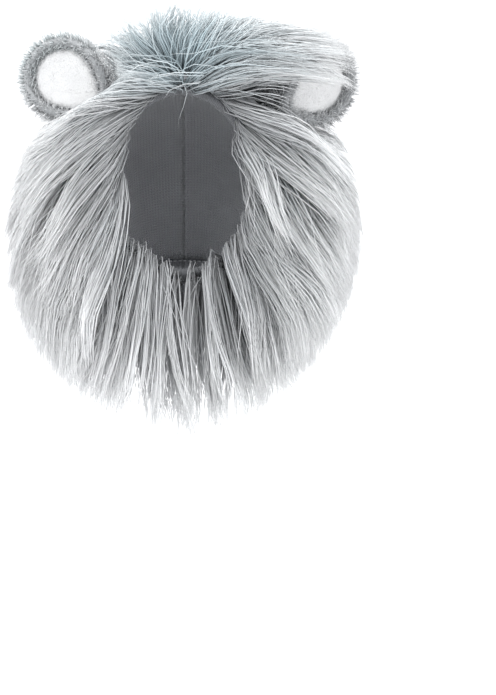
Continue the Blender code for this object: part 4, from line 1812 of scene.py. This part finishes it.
@dataclass
class Studio:
    """A pale floor that curves up behind, soft lights and a long lens."""

    floor_z: float = -0.333
    aim: tuple[float, float, float] = (0.03575, 0.0, -0.1444)
    distance: float = 1.9
    elevation: float = 3.0
    span: float = 695 * 0.00055

    def floor(self) -> None:
        """A floor and wall in one sheet, joined by a quarter circle."""
        radius, back, front, half = 0.6, 5.0, -5.0, 6.0
        turn = np.linspace(0, math.pi / 2, 17)
        y = np.concatenate([[front], back - radius + radius * np.sin(turn), [back]])
        z = np.concatenate([[0.0], radius - radius * np.cos(turn), [3.5]]) + self.floor_z
        points = np.concatenate([np.stack([np.full_like(y, x), y, z], -1) for x in (-half, half)])
        row = np.arange(len(y) - 1)
        quads = np.stack([row, row + len(y), row + len(y) + 1, row + 1], -1)
        build = Build()
        build.add(points, quads, NO_TRIS, points[:, :2])
        graph = Graph("backdrop")
        shade = graph.noise(graph.place(), 1.5)
        colour = graph.mix(shade, (0.80, 0.80, 0.805), (0.95, 0.95, 0.955))
        made = build.make("backdrop", CLOTH_UV, graph.finish(colour, 0.95))

    def lights(self) -> None:
        """A white surround, a key from the upper left, a fill, a rim and lights from the top."""
        world = bpy.data.worlds.new("surround")
        world.use_nodes = True
        world.node_tree.nodes["Background"].inputs["Color"].default_value = (0.96, 0.98, 1.0, 1.0)
        world.node_tree.nodes["Background"].inputs["Strength"].default_value = 0.85
        bpy.context.scene.world = world
        rows = (
            # name, place, aim, size, watts
            ("key", (-0.9, -1.3, 1.1), (0.0, 0.0, -0.08), 0.9, 16.0),
            ("fill", (1.3, -1.2, 0.3), (0.0, 0.0, -0.08), 1.2, 6.0),
            ("rim", (0.2, 0.9, 1.2), (0.0, 0.0, 0.0), 0.8, 8.0),
            ("top", (0.0, 0.2, 2.2), (0.0, 1.5, 0.2), 2.5, 40.0),
            ("wall", (0.0, 3.2, 2.8), (0.0, 4.4, -0.2), 3.5, 90.0),
        )
        for name, place, aim, size, watts in rows:
            data = bpy.data.lights.new(name, "AREA")
            data.energy, data.size = watts, size
            lamp = bpy.data.objects.new(name, data)
            lamp.location = place
            lamp.rotation_euler = (Vector(aim) - Vector(place)).to_track_quat("-Z", "Y").to_euler()
            bpy.context.scene.collection.objects.link(lamp)

    def camera(self) -> None:
        """A level long lens whose frame is as tall as the photo's at the wig."""
        data = bpy.data.cameras.new("camera")
        data.sensor_fit = "VERTICAL"
        data.sensor_height = 36.0
        data.lens = 36.0 * self.distance / self.span
        data.clip_end = 20.0
        camera = bpy.data.objects.new("camera", data)
        tilt = math.radians(self.elevation)
        away = Vector((0.0, -math.cos(tilt), math.sin(tilt))) * self.distance
        camera.location = Vector(self.aim) + away
        camera.rotation_euler = (-away).to_track_quat("-Z", "Y").to_euler()
        bpy.context.scene.collection.objects.link(camera)
        bpy.context.scene.camera = camera
        bpy.context.scene.view_settings.view_transform = "Standard"

    def make(self) -> None:
        """Sets the stage."""
        self.floor()
        self.lights()
        self.camera()


def main() -> None:
    """Builds the wig's pieces in order and sets the stage."""
    logging.basicConfig(level=logging.INFO, format="%(name)s: %(message)s")
    form = HoodForm()
    # Every pile below runs from a darker root to a lighter tip: the dark roots are painted shade deep in the
    # pile.
    silver = StrandFinish(
        "silver_pile",
        root=(0.27, 0.275, 0.285),
        middle=(0.55, 0.56, 0.57),
        tip=(0.95, 0.955, 0.96),
        blue_root=(0.20, 0.255, 0.28),
        blue_middle=(0.44, 0.53, 0.565),
        blue_tip=(0.72, 0.78, 0.80),
    )
    ear_pile = StrandFinish(
        "ear_pile",
        root=(0.36, 0.365, 0.37),
        middle=(0.62, 0.63, 0.64),
        tip=(0.86, 0.865, 0.87),
        blue_root=(0.31, 0.36, 0.365),
        blue_middle=(0.54, 0.61, 0.62),
        blue_tip=(0.78, 0.84, 0.85),
        roughness=0.75,
    )
    white_pile = StrandFinish(
        "white_pile",
        root=(0.70, 0.70, 0.705),
        middle=(0.80, 0.80, 0.80),
        tip=(0.86, 0.86, 0.86),
        blue_root=(0.70, 0.70, 0.705),
        blue_middle=(0.93, 0.93, 0.93),
        blue_tip=(0.86, 0.86, 0.86),
        roughness=0.8,
        spread=0.10,
    )
    # The mane's ground is dark grey: painted shade deep in the pile.
    roots = PlushFinish("shaded_root_ground", (0.17, 0.18, 0.19), (0.30, 0.31, 0.33), 700.0, 0.001)
    knit = KnitFinish("grey_knit", (0.22, 0.225, 0.24), (0.35, 0.355, 0.37))
    # The tape's dark grey is painted shadow along the rims.
    tape = TapeFinish("shadow_grey_tape", (0.10, 0.104, 0.112), (0.17, 0.175, 0.185))
    thread = ThreadFinish("grey_thread", (0.40, 0.41, 0.43), (0.56, 0.57, 0.59))
    made = Hood(form, knit, tape, thread).make()
    made += Mane(Pile(form, Growth()), form, silver, roots).make()
    for number, ear in enumerate(EARS):
        side = ear.side.value
        cup = PlushFinish(f"{side}_cup", (0.30, 0.31, 0.32), (0.46, 0.47, 0.48))
        plush = PlushFinish(f"{side}_plush", (0.74, 0.74, 0.745), (0.82, 0.82, 0.82), 1400.0, 0.0003)
        made += Ear(ear, cup, plush, ear_pile, white_pile, seed=31 + number).make()
    for piece in made:
        piece.data.calc_loop_triangles()
        LOG.info("%s: %d triangles", piece.name, len(piece.data.loop_triangles))
    Studio().make()


if __name__ == "__main__":
    main()
